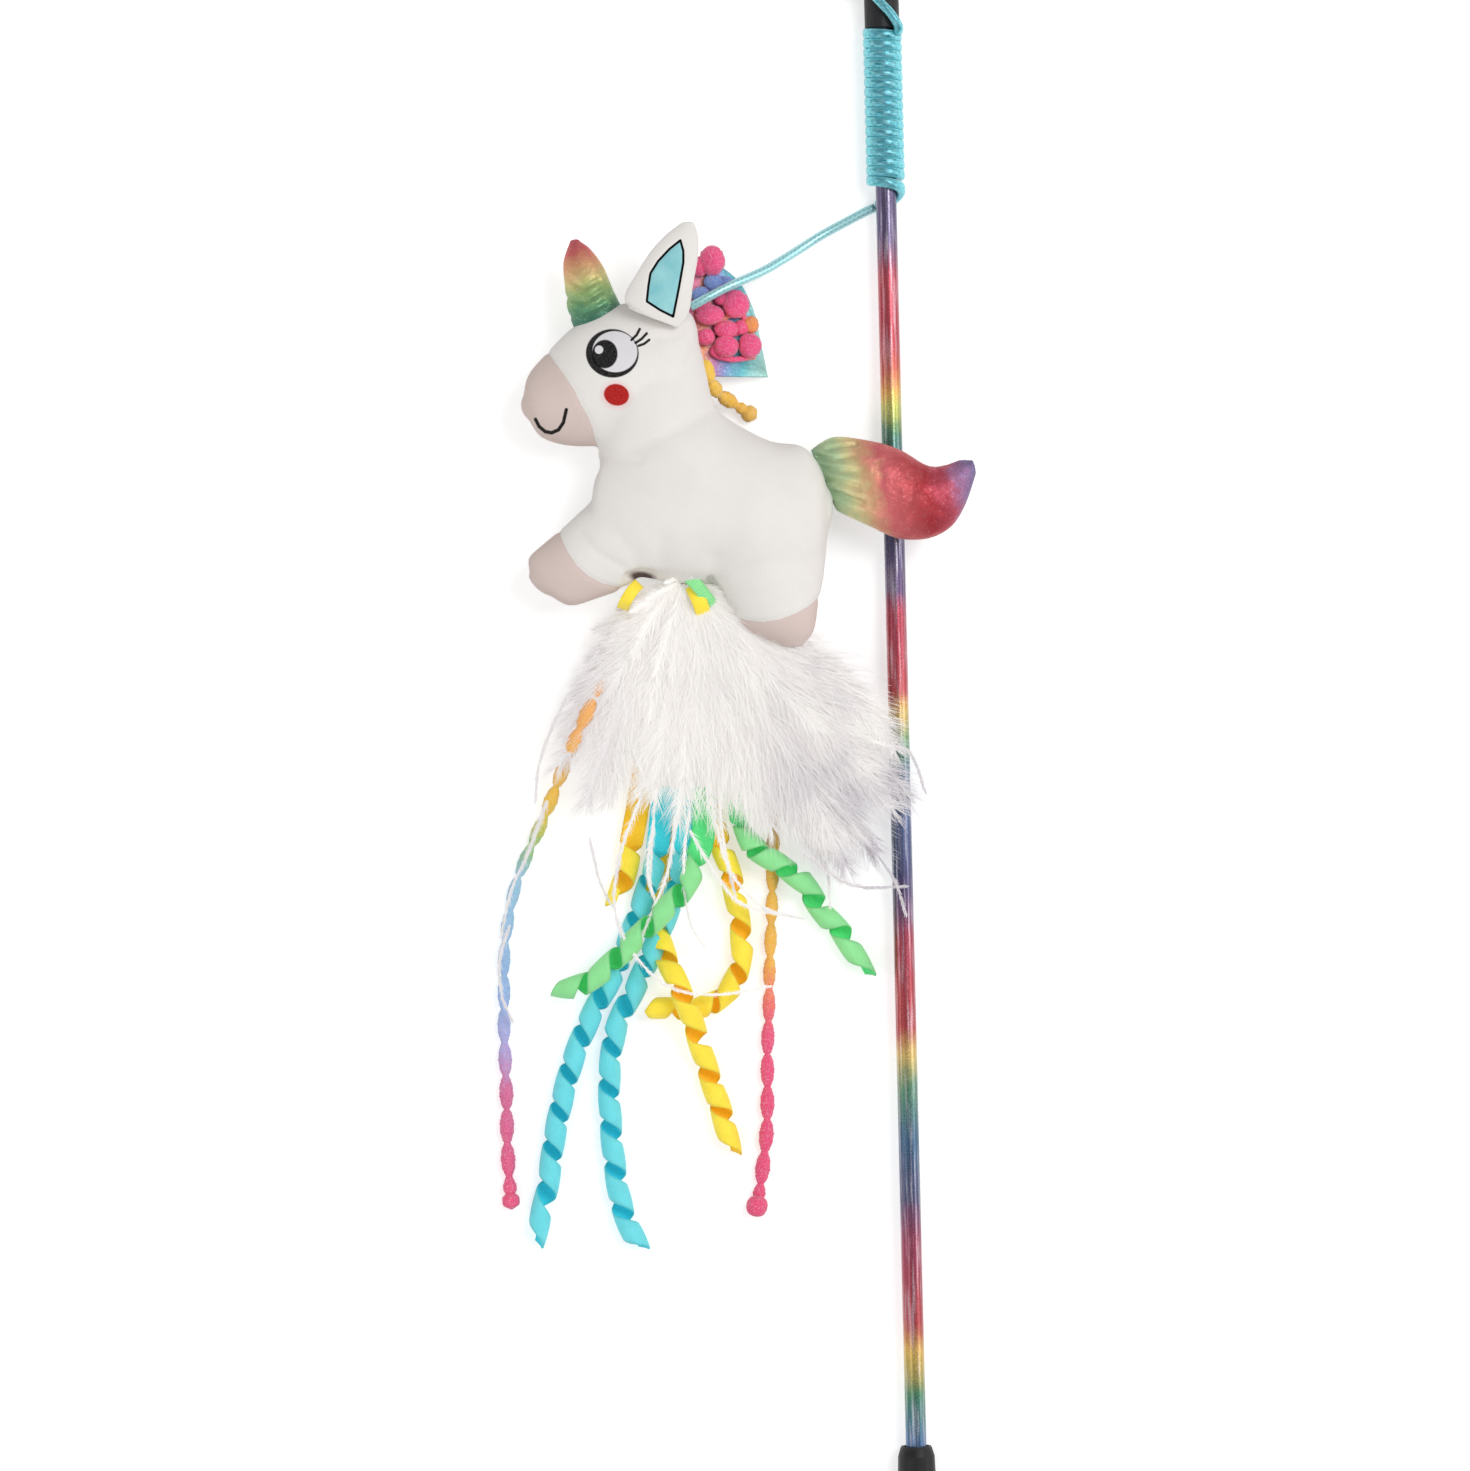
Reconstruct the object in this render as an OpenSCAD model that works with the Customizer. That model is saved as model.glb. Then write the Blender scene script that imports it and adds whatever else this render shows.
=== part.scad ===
// Cat teaser wand: a rod with a handle, a cord wound on its tip, and a stuffed unicorn with streamers.
// The wand lies along Y with its handle's butt at the origin. Everything rests on one flat surface below it.

/* [Rod] */
// Diameter of the plastic tube
rod_d = 6; // [5:0.1:7]
// Bore of the tube
rod_bore = 4; // [2:0.1:4.4]
// Thickness of the metallic film round the tube
film_t = 0.1; // [0.05:0.05:0.2]
// Length of rod that shows between handle and tip sleeve
rod_show = 425; // [300:5:600]

/* [Handle] */
// Length of the handle
handle_l = 100; // [70:1:140]
// Largest diameter of the handle
handle_d = 12; // [12:0.1:16]
// Diameter where the handle's shoulder ends
shoulder_d = 11; // [10.6:0.1:12]
// Diameter of the handle's rim
rim_d = 9.6; // [8.6:0.1:10.4]
// Depth of rod held inside the handle
rod_seat = 30; // [15:1:50]

/* [Tip sleeve] */
// Length of the sleeve
sleeve_l = 31; // [26:1:40]
// Outer diameter of the sleeve
sleeve_d = 10.4; // [9.6:0.1:11]
// Depth of rod held inside the sleeve
sleeve_seat = 18; // [10:1:19]
// Thickness of the sleeve's end wall
sleeve_end_t = 4; // [3:0.5:5]

/* [Cord] */
// Diameter of the cord
cord_d = 2.4; // [2:0.1:2.4]
// Full turns of cord wound on the rod
wind_turns = 16; // [8:1:18]
// Step from one turn to the next
wind_pitch = 2.85; // [2.85:0.05:3.2]

/* [Toy] */
// Length of the stuffed body from muzzle to rump
toy_l = 94; // [80:1:100]
// Height of the stuffed body from hoof to poll
toy_h = 103; // [90:1:110]
// Thickness of the stuffing at the middle of the body
toy_t = 32; // [24:1:34]
// Thickness of the ear
ear_t = 6; // [4:0.5:7]
// Thickness of the horn at its base
horn_t = 13; // [9:0.5:14]
// Thickness of the tail at its fullest
tail_t = 15; // [10:0.5:16]
// Thickness of the mane's fabric flap
flap_t = 1.2; // [0.8:0.1:1.6]
// Diameter of the bobbles sewn on the mane
mane_bobble_d = 5.2; // [3:0.1:5.4]

/* [Streamers] */
// Reach of the streamers from the belly to their lowest end
streamer_l = 195; // [170:5:205]
// Width of a ribbon
ribbon_w = 7; // [5:0.5:7]
// Thickness of a ribbon
ribbon_t = 0.6; // [0.4:0.1:0.6]
// Outer diameter of a ribbon's curls
curl_d = 6.6; // [6:0.1:6.8]
// Thickness of the feather bunch at its fullest
feather_t = 10; // [6:0.5:12]
// Diameter of the bobbles on the yarn
bobble_d = 4.2; // [3:0.1:4.4]

/* [Hidden] */

// Running gap between pieces that move past each other, and a snug fit round the rod
gap = 0.3;
fit = 0.05;
// Overrun of every cut past the face it opens
over = 1;
// Sides of exact round pieces
round_fn = 64;

// Radii and places along the wand
film_r = rod_d / 2 + film_t;
rim_y = handle_l + rod_show;
tip_y = rim_y + sleeve_l;
rod_y0 = handle_l - rod_seat;
rod_l = rod_seat + rod_show + sleeve_seat;
wind_gap = 0.2;
wind_r = film_r + wind_gap + cord_d / 2;
rest_r = max(handle_d / 2, sleeve_d / 2, wind_r + cord_d / 2 + gap);
floor_z = -rest_r;

// Handle profile
butt_round = 2;
rim_recess_d = 7.8;
rim_recess_l = 1.2;
rim_chamfer = 0.6;
shoulder_l = 3;
swell_l = 18;

// Tip sleeve profile
cord_hole_d = cord_d + 0.5;
knot_room_d = 7.6;
sleeve_round = 1.4;
sleeve_chamfer = 0.5;
knot_d = 6.4;
knot_l = 5;
knot_y = tip_y - sleeve_end_t - knot_l;

// Winding: its first turn starts just below the sleeve's rim, and its last turn is slack
rim_gap = 0.2;
wind_y = rim_y - cord_d / 2 - rim_gap;
wind_slack = 5;
wind_rings = 24;
wind_sides = 6;
cord_sides = 8;

// Cord from the sleeve's end hole, in a small loop on the left, over the sleeve and down its right side
TIP_LEAD = [[0, 554, 0], [0, 556.5, 0], [-0.4, 559.2, 0], [-1.7, 561.8, -0.4], [-4, 563.6, -1],
            [-6.8, 563.8, -1.6], [-9.2, 562.2, -2], [-10.6, 559.6, -2.1], [-10.8, 556.5, -1.9],
            [-10, 553.4, -1.4], [-8.8, 550.4, -0.6], [-7.6, 547.4, 0.5], [-6.7, 544.4, 1.8],
            [-5.8, 541.4, 3.4], [-4.5, 538.4, 5], [-2.8, 535.4, 6.1], [-0.4, 532.4, 6.7],
            [2.1, 529.6, 7], [3.9, 527, 6.8], [4.9, 525, 6], [4.7, 523.8, 4.6]];

// Cord from under the rod to the toy's neck, over the mane
TO_TOY = [[-3.2, 472, -4.5], [-5.2, 471.3, -4.6], [-8, 470, -4.7], [-11.5, 468.2, -4.7], [-15.5, 466.2, -4.7],
          [-20, 463.8, -4.2], [-24, 461.3, -3.1], [-28, 458.8, -1.4], [-32.4, 456.1, 1], [-36.6, 453.6, 3.6],
          [-41, 451.5, 6], [-45.5, 449.5, 8.2], [-50, 447.4, 9.7], [-54, 445.3, 10.5], [-57, 443.7, 10.7],
          [-59.4, 442.5, 10.6]];

// Toy's own corner, at its muzzle and hooves, and its turn against the wand
toy_x = -112.2;
toy_y = 342.1;
toy_turn = -1.4;
toy_mid = floor_z + toy_t / 2;

// Outlines across each stuffed form, a row per station: first edge x and y, second edge x and y, in shares
// of the toy's length and height, then half thickness in shares of the toy's thickness
TORSO_SHARES = [[0.215, 0.49, 0.205, 0.4, 0.16], [0.265, 0.58, 0.215, 0.3, 0.3], [0.345, 0.65, 0.285, 0.22, 0.41],
                [0.445, 0.71, 0.39, 0.2, 0.48], [0.565, 0.715, 0.505, 0.185, 0.5], [0.68, 0.65, 0.61, 0.18, 0.5],
                [0.79, 0.6, 0.74, 0.165, 0.49], [0.89, 0.585, 0.855, 0.17, 0.43], [0.945, 0.53, 0.945, 0.24, 0.3],
                [0.972, 0.46, 0.972, 0.34, 0.14]];
SKULL_SHARES = [[0.005, 0.725, 0.02, 0.665, 0.16], [0.02, 0.79, 0.06, 0.61, 0.28], [0.08, 0.855, 0.145, 0.585, 0.36],
                [0.15, 0.92, 0.245, 0.585, 0.41], [0.235, 0.97, 0.345, 0.605, 0.44],
                [0.335, 1.0, 0.44, 0.665, 0.44], [0.44, 1.0, 0.525, 0.735, 0.4], [0.513, 0.975, 0.552, 0.85, 0.26]];
NECK_SHARES = [[0.26, 0.765, 0.565, 0.88, 0.36], [0.235, 0.675, 0.585, 0.81, 0.42], [0.235, 0.605, 0.6, 0.74, 0.43],
               [0.245, 0.54, 0.62, 0.685, 0.4], [0.27, 0.47, 0.66, 0.6, 0.3]];
FRONT_LEG_SHARES = [[0.325, 0.515, 0.505, 0.3, 0.36], [0.215, 0.42, 0.39, 0.215, 0.36],
                    [0.125, 0.345, 0.32, 0.17, 0.31], [0.06, 0.295, 0.25, 0.145, 0.27],
                    [0.02, 0.26, 0.155, 0.12, 0.2], [0.025, 0.215, 0.09, 0.15, 0.13]];
HIND_LEG_SHARES = [[0.605, 0.37, 0.985, 0.395, 0.38], [0.61, 0.255, 0.97, 0.295, 0.37],
                   [0.63, 0.165, 0.96, 0.205, 0.36], [0.675, 0.09, 0.945, 0.135, 0.3],
                   [0.735, 0.04, 0.93, 0.05, 0.23], [0.805, 0.015, 0.9, 0.015, 0.13]];
HORN_SHARES = [[0.175, 0.9, 0.325, 0.975], [0.145, 0.975, 0.29, 1.04], [0.135, 1.045, 0.26, 1.105],
               [0.13, 1.115, 0.22, 1.155], [0.15, 1.175, 0.185, 1.18]];
HORN_T_SHARES = [0.5, 0.47, 0.4, 0.28, 0.12];
EAR_SHARES = [[0.335, 0.97, 0.495, 0.915], [0.33, 1.015, 0.53, 0.96], [0.365, 1.075, 0.545, 1.04],
              [0.405, 1.135, 0.56, 1.12], [0.46, 1.19, 0.56, 1.185], [0.505, 1.222, 0.548, 1.222]];
EAR_T_SHARES = [0.42, 0.5, 0.5, 0.44, 0.34, 0.2];
TAIL_SHARES = [[0.962, 0.55, 1, 0.405], [1.01, 0.61, 1.035, 0.385], [1.11, 0.6, 1.105, 0.35],
               [1.2, 0.575, 1.195, 0.315], [1.285, 0.53, 1.29, 0.315], [1.34, 0.53, 1.365, 0.35],
               [1.385, 0.545, 1.41, 0.415], [1.425, 0.545, 1.44, 0.495]];
TAIL_T_SHARES = [0.08, 0.36, 0.5, 0.5, 0.46, 0.38, 0.26, 0.14];
FEATHER_SHARES = [[0.47, 0.14, 0.57, 0.138], [0.425, 0.09, 0.625, 0.085], [0.36, 0.03, 0.68, 0.01],
                  [0.245, -0.03, 0.87, -0.065], [0.145, -0.15, 1.085, -0.15], [0.095, -0.28, 1.19, -0.28],
                  [0.075, -0.415, 1.225, -0.42], [0.125, -0.5, 1.145, -0.515], [0.3, -0.545, 0.95, -0.55]];
FEATHER_T_SHARES = [0.28, 0.36, 0.42, 0.48, 0.5, 0.5, 0.46, 0.36, 0.2];

// Where the pink fabric meets the white, in the same shares
MUZZLE_EDGE_SHARES = [[0.04, 0.9], [0.08, 0.855], [0.14, 0.78], [0.19, 0.695], [0.23, 0.63], [0.245, 0.56]];
FRONT_HOOF_EDGE_SHARES = [[0.09, 0.4], [0.12, 0.335], [0.15, 0.27], [0.215, 0.205], [0.31, 0.175], [0.38, 0.16]];
HIND_HOOF_EDGE_SHARES = [[0.62, 0.11], [0.67, 0.085], [0.765, 0.075], [0.87, 0.095], [0.945, 0.14], [1, 0.18]];

// Mane flap's outline, its tilt from the neck down to the surface, and its yarn with heights in bobbles
FLAP_SHARES = [[0.52, 1.02], [0.56, 1.12], [0.655, 1.105], [0.725, 1.015], [0.755, 0.92], [0.79, 0.795],
               [0.63, 0.785], [0.55, 0.8]];
flap_tilt = 14;
flap_x_share = 0.56;
flap_drop = 7.8;
MANE_TOP_SHARES = [[0.565, 1.09], [0.605, 1.13], [0.66, 1.105]];
MANE_INNER_SHARES = [[0.57, 0.99], [0.595, 0.955], [0.65, 0.935], [0.65, 0.885], [0.6, 0.85]];
MANE_OUTER_SHARES = [[0.66, 1.02], [0.69, 0.99], [0.73, 0.945], [0.745, 0.895], [0.72, 0.85], [0.665, 0.825]];
STRAND_SHARES = [[0.605, 0.765], [0.62, 0.745], [0.66, 0.72], [0.705, 0.695], [0.745, 0.67]];
STRAND_Z_SHARES = [0.42, 0.3, 0.17, 0.1, 0.07];

// Streamer routes from the tab: across and down in shares of their reach, height in shares of a curl
tab_x_share = 0.52;
tab_y_share = 0.17;
TEAL_LEFT_SHARES = [[-0.008, -0.015, 0.5], [-0.022, -0.17, 0.5], [-0.034, -0.31, 0.5], [-0.044, -0.4, 0.52],
                    [-0.06, -0.46, 0.56], [-0.083, -0.525, 0.54], [-0.11, -0.59, 0.52], [-0.145, -0.655, 0.52],
                    [-0.172, -0.72, 0.52], [-0.19, -0.785, 0.52], [-0.203, -0.85, 0.52], [-0.213, -0.92, 0.52],
                    [-0.232, -1, 0.52]];
TEAL_RIGHT_SHARES = [[0.004, -0.015, 0.64], [0.002, -0.17, 0.64], [0, -0.31, 0.64], [-0.004, -0.4, 0.66],
                     [-0.018, -0.47, 0.72], [-0.043, -0.535, 0.7], [-0.071, -0.6, 0.6], [-0.105, -0.67, 0.52],
                     [-0.117, -0.74, 0.52], [-0.116, -0.81, 0.52], [-0.11, -0.88, 0.52], [-0.098, -0.95, 0.52],
                     [-0.074, -1.01, 0.52]];
GREEN_LEFT_SHARES = [[0.022, -0.015, 1.08], [0.028, -0.18, 1.08], [0.028, -0.36, 1.12], [0.018, -0.41, 1.54],
                     [0, -0.455, 1.82], [-0.03, -0.49, 1.84], [-0.065, -0.525, 1.76], [-0.1, -0.56, 1.68],
                     [-0.135, -0.592, 1.6], [-0.168, -0.61, 1.3], [-0.195, -0.61, 0.95]];
GREEN_RIGHT_SHARES = [[0.03, -0.015, 0.92], [0.05, -0.18, 0.92], [0.085, -0.35, 0.94], [0.105, -0.395, 1.12],
                      [0.14, -0.42, 1.24], [0.18, -0.45, 1], [0.21, -0.495, 0.62], [0.245, -0.535, 0.52],
                      [0.275, -0.59, 0.52]];
YELLOW_SHORT_SHARES = [[-0.02, -0.015, 0.36], [-0.05, -0.17, 0.36], [-0.07, -0.31, 0.36], [-0.084, -0.39, 0.5],
                       [-0.091, -0.43, 0.52], [-0.106, -0.48, 0.52]];
YELLOW_LONG_SHARES = [[0.01, -0.015, 0.07], [0.01, -0.17, 0.07], [0.004, -0.31, 0.07], [-0.004, -0.4, 0.07],
                      [-0.006, -0.475, 0.07], [0, -0.53, 0.26], [0, -0.58, 0.9], [0.002, -0.625, 1.6],
                      [0.015, -0.67, 1.45], [0.03, -0.715, 0.7], [0.045, -0.765, 0.52], [0.058, -0.81, 0.52],
                      [0.069, -0.862, 0.52]];
YELLOW_LOOP_SHARES = [[0.016, -0.015, 0.22], [0.022, -0.17, 0.22], [0.034, -0.31, 0.26], [0.05, -0.385, 0.52],
                      [0.068, -0.435, 0.52], [0.08, -0.495, 0.52], [0.086, -0.555, 0.52], [0.072, -0.607, 0.52],
                      [0.04, -0.636, 0.52], [0, -0.645, 0.52], [-0.036, -0.645, 0.52]];
LEFT_YARN_SHARES = [[-0.01, -0.0125, 1.27], [-0.05, -0.045, 0.85], [-0.09, -0.09, 0.36], [-0.135, -0.16, 0.36],
                    [-0.165, -0.22, 0.36], [-0.19, -0.28, 0.36], [-0.22, -0.355, 0.36], [-0.245, -0.41, 0.36],
                    [-0.262, -0.455, 0.36], [-0.272, -0.5, 0.36], [-0.279, -0.55, 0.36], [-0.28, -0.61, 0.36],
                    [-0.28, -0.67, 0.36], [-0.278, -0.73, 0.36], [-0.276, -0.79, 0.36], [-0.275, -0.85, 0.36],
                    [-0.272, -0.905, 0.36], [-0.268, -0.955, 0.36]];
RIGHT_YARN_SHARES = [[0.01, -0.0125, 1.3], [0.05, -0.03, 1.3], [0.085, -0.07, 0.7], [0.103, -0.13, 0.36],
                     [0.116, -0.18, 0.36], [0.127, -0.23, 0.36], [0.133, -0.29, 0.36], [0.135, -0.35, 0.36],
                     [0.134, -0.41, 0.36], [0.133, -0.47, 0.36], [0.131, -0.53, 0.36], [0.129, -0.59, 0.36],
                     [0.128, -0.65, 0.36], [0.126, -0.71, 0.36], [0.126, -0.77, 0.36], [0.125, -0.83, 0.36],
                     [0.12, -0.88, 0.36], [0.114, -0.925, 0.36], [0.107, -0.965, 0.36]];

// Curls: rings in each, and how much route one curl takes
curl_rings = 8;
curl_pitch = 12.3;
curl_ramp_share = 0.35;
// Narrowing of the band where it leans over into its first curl
curl_start_share = 0.4;
yarn_waist_share = 0.4;
bobble_l = 10;
tab_l = 5;
tab_w = 5;
stuffed_sides = 20;
stuffed_steps = 3;

function unit(v) = v / norm(v);
function run(p, i = 0) = i >= len(p) - 1 ? 0 : norm(p[i + 1] - p[i]) + run(p, i + 1);

// A smooth curve through every row of p, at u rows from its start
function along(p, u) =
    let (n = len(p) - 1, i = min(floor(u), n - 1), t = u - i,
         a = p[max(i - 1, 0)], b = p[i], c = p[i + 1], d = p[min(i + 2, n)])
    ((2 * b) + (c - a) * t + (2 * a - 5 * b + 4 * c - d) * t * t + (3 * b - a - 3 * c + d) * t * t * t) / 2;

function heading(p, i) = unit(p[min(i + 1, len(p) - 1)] - p[max(i - 1, 0)]);
function carried(p, i, side) =
    i == len(p) ? [] :
    let (t = heading(p, i), s = unit(side - t * (side * t)))
    concat([s], carried(p, i + 1, s));

// Closed skin over equal rings of points, the first and last ring capped
module skin(rings, turned = false) {
    m = len(rings[0]);
    last = (len(rings) - 1) * m;
    walls = [for (i = [0 : len(rings) - 2]) for (j = [0 : m - 1])
             let (a = i * m + j, b = i * m + (j + 1) % m)
             each [[a, a + m, b + m], [a, b + m, b]]];
    caps = [[for (j = [0 : m - 1]) j], [for (j = [m - 1 : -1 : 0]) last + j]];
    faces = concat(walls, caps);
    polyhedron(points = [for (r = rings) each r],
               faces = turned ? [for (f = faces) [for (k = [len(f) - 1 : -1 : 0]) f[k]]] : faces,
               convexity = 10);
}

// Round tube along points, with a radius for each of them
module tube(p, radii, sides, side) {
    s = carried(p, 0, side);
    skin([for (i = [0 : len(p) - 1])
          let (t = heading(p, i), q = cross(t, s[i]))
          [for (j = [0 : sides - 1])
           let (a = 360 * j / sides) p[i] + radii[i] * (s[i] * cos(a) + q * sin(a))]]);
}

// Stuffed form: an oval ring between the two edges of each row, with a domed or plain end
function oval(row, grow, push) =
    let (m = [(row[0] + row[2]) / 2, (row[1] + row[3]) / 2, row[5]] + push,
         h = [(row[2] - row[0]) / 2, (row[3] - row[1]) / 2, 0] * grow)
    [for (j = [0 : stuffed_sides - 1])
     let (a = 360 * j / stuffed_sides) m + h * cos(a) + [0, 0, row[4] * grow * sin(a)]];
function middle(row) = [(row[0] + row[2]) / 2, (row[1] + row[3]) / 2, row[5]];
function dome(row, next) =
    let (out = unit(middle(row) - middle(next)) * min(row[4], norm([row[2] - row[0], row[3] - row[1]]) / 2))
    [oval(row, 0.4, out * 0.42), oval(row, 0.78, out * 0.26)];

module stuffed(rows, dome_start = true, dome_end = true) {
    steps = (len(rows) - 1) * stuffed_steps;
    fine = [for (i = [0 : steps]) along(rows, i / stuffed_steps)];
    a = dome(fine[0], fine[1]);
    b = dome(fine[steps], fine[steps - 1]);
    first = rows[0];
    across = [first[2] - first[0], first[3] - first[1], 0];
    turned = (middle(fine[1]) - middle(fine[0])) * cross(across, [0, 0, 1]) < 0;
    skin(concat(dome_start ? a : [], [for (r = fine) oval(r, 1, [0, 0, 0])], dome_end ? [b[1], b[0]] : []),
         turned);
}

// Rows in real sizes, from shares of the toy's length and height
function toy_rows(shares) =
    [for (r = shares) [r[0] * toy_l, r[1] * toy_h, r[2] * toy_l, r[3] * toy_h, r[4] * toy_t, toy_mid]];
function thick_rows(shares, t_shares, t, z) =
    [for (i = [0 : len(shares) - 1])
     let (r = shares[i]) [r[0] * toy_l, r[1] * toy_h, r[2] * toy_l, r[3] * toy_h, t_shares[i] * t, z[i]]];
function toy_points(shares) = [for (r = shares) [r[0] * toy_l, r[1] * toy_h]];

module toy_place() {
    translate([toy_x, toy_y, 0]) rotate([0, 0, toy_turn]) children();
}

// Everything on the pink side of an edge, as a thick slab
module pink_side(edge_shares, corner_shares) {
    translate([0, 0, floor_z - over])
        linear_extrude(toy_t + 2 * over)
            polygon(concat(toy_points(edge_shares), toy_points(corner_shares)));
}

module on_axis() {
    rotate([-90, 0, 0]) children();
}

module rod() {
    color("#c9c4d6") translate([0, rod_y0, 0]) on_axis() difference() {
        cylinder(d = rod_d, h = rod_l, $fn = round_fn);
        translate([0, 0, -over]) cylinder(d = rod_bore, h = rod_l + 2 * over, $fn = round_fn);
    }
}

module rod_film() {
    color("#8a4a8c") translate([0, rod_y0, 0]) on_axis() difference() {
        cylinder(r = film_r, h = rod_l, $fn = round_fn);
        translate([0, 0, -over]) cylinder(d = rod_d, h = rod_l + 2 * over, $fn = round_fn);
    }
}

// Moulded handle: rounded butt, long straight grip, swell, shoulder and chamfered rim round a blind socket
module handle_grip() {
    r = handle_d / 2;
    color("#17181a") on_axis() difference() {
        union() {
            translate([0, 0, butt_round]) cylinder(r = r, h = handle_l - swell_l - butt_round, $fn = round_fn);
            rotate_extrude($fn = round_fn) {
                square([r - butt_round, butt_round]);
                translate([r - butt_round, butt_round]) intersection() {
                    circle(r = butt_round, $fn = round_fn);
                    translate([0, -butt_round]) square([butt_round, butt_round]);
                }
            }
            translate([0, 0, handle_l - swell_l])
                cylinder(r1 = r, r2 = shoulder_d / 2, h = swell_l - shoulder_l, $fn = round_fn);
            translate([0, 0, handle_l - shoulder_l])
                cylinder(d1 = shoulder_d, d2 = rim_d, h = shoulder_l - rim_chamfer, $fn = round_fn);
            translate([0, 0, handle_l - rim_chamfer])
                cylinder(d1 = rim_d, d2 = rim_d - rim_chamfer, h = rim_chamfer, $fn = round_fn);
        }
        translate([0, 0, rod_y0]) cylinder(r = film_r + fit, h = rod_seat + over, $fn = round_fn);
        translate([0, 0, handle_l - rim_recess_l])
            cylinder(d = rim_recess_d, h = rim_recess_l + over, $fn = round_fn);
    }
}

// Sleeve: socket for the rod, room for the knot, and a small hole in the end wall for the cord
module tip_sleeve() {
    r = sleeve_d / 2;
    color("#17181a") translate([0, rim_y, 0]) on_axis() difference() {
        rotate_extrude($fn = round_fn) union() {
            polygon([[0, 0], [r - sleeve_chamfer, 0], [r, sleeve_chamfer], [r, sleeve_l - sleeve_round],
                     [0, sleeve_l - sleeve_round]]);
            translate([0, sleeve_l - sleeve_round]) square([r - sleeve_round, sleeve_round]);
            translate([r - sleeve_round, sleeve_l - sleeve_round]) intersection() {
                circle(r = sleeve_round, $fn = round_fn);
                square([sleeve_round, sleeve_round]);
            }
        }
        translate([0, 0, -over]) cylinder(r = film_r + fit, h = sleeve_seat + over, $fn = round_fn);
        translate([0, 0, sleeve_seat])
            cylinder(d = knot_room_d, h = sleeve_l - sleeve_seat - sleeve_end_t, $fn = round_fn);
        translate([0, 0, sleeve_l - sleeve_end_t - over])
            cylinder(d = cord_hole_d, h = sleeve_end_t + 2 * over, $fn = round_fn);
    }
}

// Stopper knot, pulled against the sleeve's end wall
module cord_knot() {
    color("#4fb9c4") translate([0, knot_y, 0]) on_axis() rotate_extrude($fn = round_fn)
        polygon([[0, 0], [knot_d * 0.3, 0], [knot_d * 0.46, knot_l * 0.2], [knot_d / 2, knot_l * 0.5],
                 [knot_d * 0.46, knot_l * 0.8], [knot_d * 0.3, knot_l], [0, knot_l]]);
}

function wind_point(turn) =
    let (a = 180 + 360 * turn, late = max(0, turn - wind_turns + 0.75))
    [-wind_r * cos(a), wind_y - wind_pitch * turn - wind_slack * late * late * (3 - 2 * late), wind_r * sin(a)];
wind_end = wind_turns + 0.25;
wind_start = wind_point(0);
wind_last = wind_point(wind_end);
WINDING = concat([wind_start + [0, 0, cord_d]],
                 [for (i = [0 : wind_end * wind_rings]) wind_point(i / wind_rings)],
                 [wind_last + [-cord_d, 0, 0]]);
wind_least = min([for (i = [1 : len(WINDING) - wind_rings - 2]) norm(WINDING[i] - WINDING[i + wind_rings])]);
echo(winding_gap_to_itself = wind_least - cord_d);

module cord_tip_lead() {
    p = concat([[0, knot_y + knot_l, 0]], TIP_LEAD, [wind_start + [0, 0, cord_d + gap]]);
    color("#4fb9c4") tube(p, [for (q = p) cord_d / 2], cord_sides, [0, 0, 1]);
}

module cord_winding() {
    color("#4fb9c4") tube(WINDING, [for (q = WINDING) cord_d / 2], wind_sides, [1, 0, 0]);
}

module cord_to_toy() {
    p = TO_TOY;
    n = len(p) - 1;
    color("#4fb9c4") tube(p, [for (i = [0 : n]) i == 0 || i == n ? cord_d * 0.3 : cord_d / 2], cord_sides, [0, 0, 1]);
}

module torso_form() {
    stuffed(toy_rows(TORSO_SHARES));
}

module skull_form() {
    stuffed(toy_rows(SKULL_SHARES));
}

module neck_form() {
    stuffed(toy_rows(NECK_SHARES), false, false);
}

module front_leg_form() {
    stuffed(toy_rows(FRONT_LEG_SHARES), false, true);
}

module hind_leg_form() {
    stuffed(toy_rows(HIND_LEG_SHARES), false, true);
}

module muzzle_side() {
    pink_side(MUZZLE_EDGE_SHARES, [[-0.1, 0.5], [-0.1, 0.9]]);
}

module front_hoof_side() {
    pink_side(FRONT_HOOF_EDGE_SHARES, [[0.38, 0], [-0.1, 0], [-0.1, 0.4]]);
}

module hind_hoof_side() {
    pink_side(HIND_HOOF_EDGE_SHARES, [[1.1, -0.1], [0.6, -0.1]]);
}

module torso() {
    color("#ececea") toy_place() torso_form();
}

module head() {
    color("#ececea") toy_place() difference() {
        union() {
            skull_form();
            neck_form();
        }
        muzzle_side();
        torso_form();
    }
}

module muzzle() {
    color("#cdb9b4") toy_place() intersection() {
        skull_form();
        muzzle_side();
    }
}

module front_leg() {
    color("#ececea") toy_place() difference() {
        front_leg_form();
        front_hoof_side();
        torso_form();
    }
}

module front_hoof() {
    color("#cdb9b4") toy_place() intersection() {
        front_leg_form();
        front_hoof_side();
    }
}

module hind_leg() {
    color("#ececea") toy_place() difference() {
        hind_leg_form();
        hind_hoof_side();
        torso_form();
    }
}

module hind_hoof() {
    color("#cdb9b4") toy_place() intersection() {
        hind_leg_form();
        hind_hoof_side();
    }
}

module horn() {
    z = [for (r = HORN_SHARES) toy_mid];
    color("#8fa968") toy_place() difference() {
        stuffed(thick_rows(HORN_SHARES, HORN_T_SHARES, horn_t, z), false, true);
        skull_form();
    }
}

// Ear: lies on the head with its base stitched there, and stands out past the poll
ear_z = toy_mid + toy_t * 0.33 + gap + ear_t / 2;
module ear() {
    z = [for (i = [0 : len(EAR_SHARES) - 1]) ear_z - i * ear_t * 0.12];
    color("#ececea") toy_place() stuffed(thick_rows(EAR_SHARES, EAR_T_SHARES, ear_t, z), false, true);
}

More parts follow.
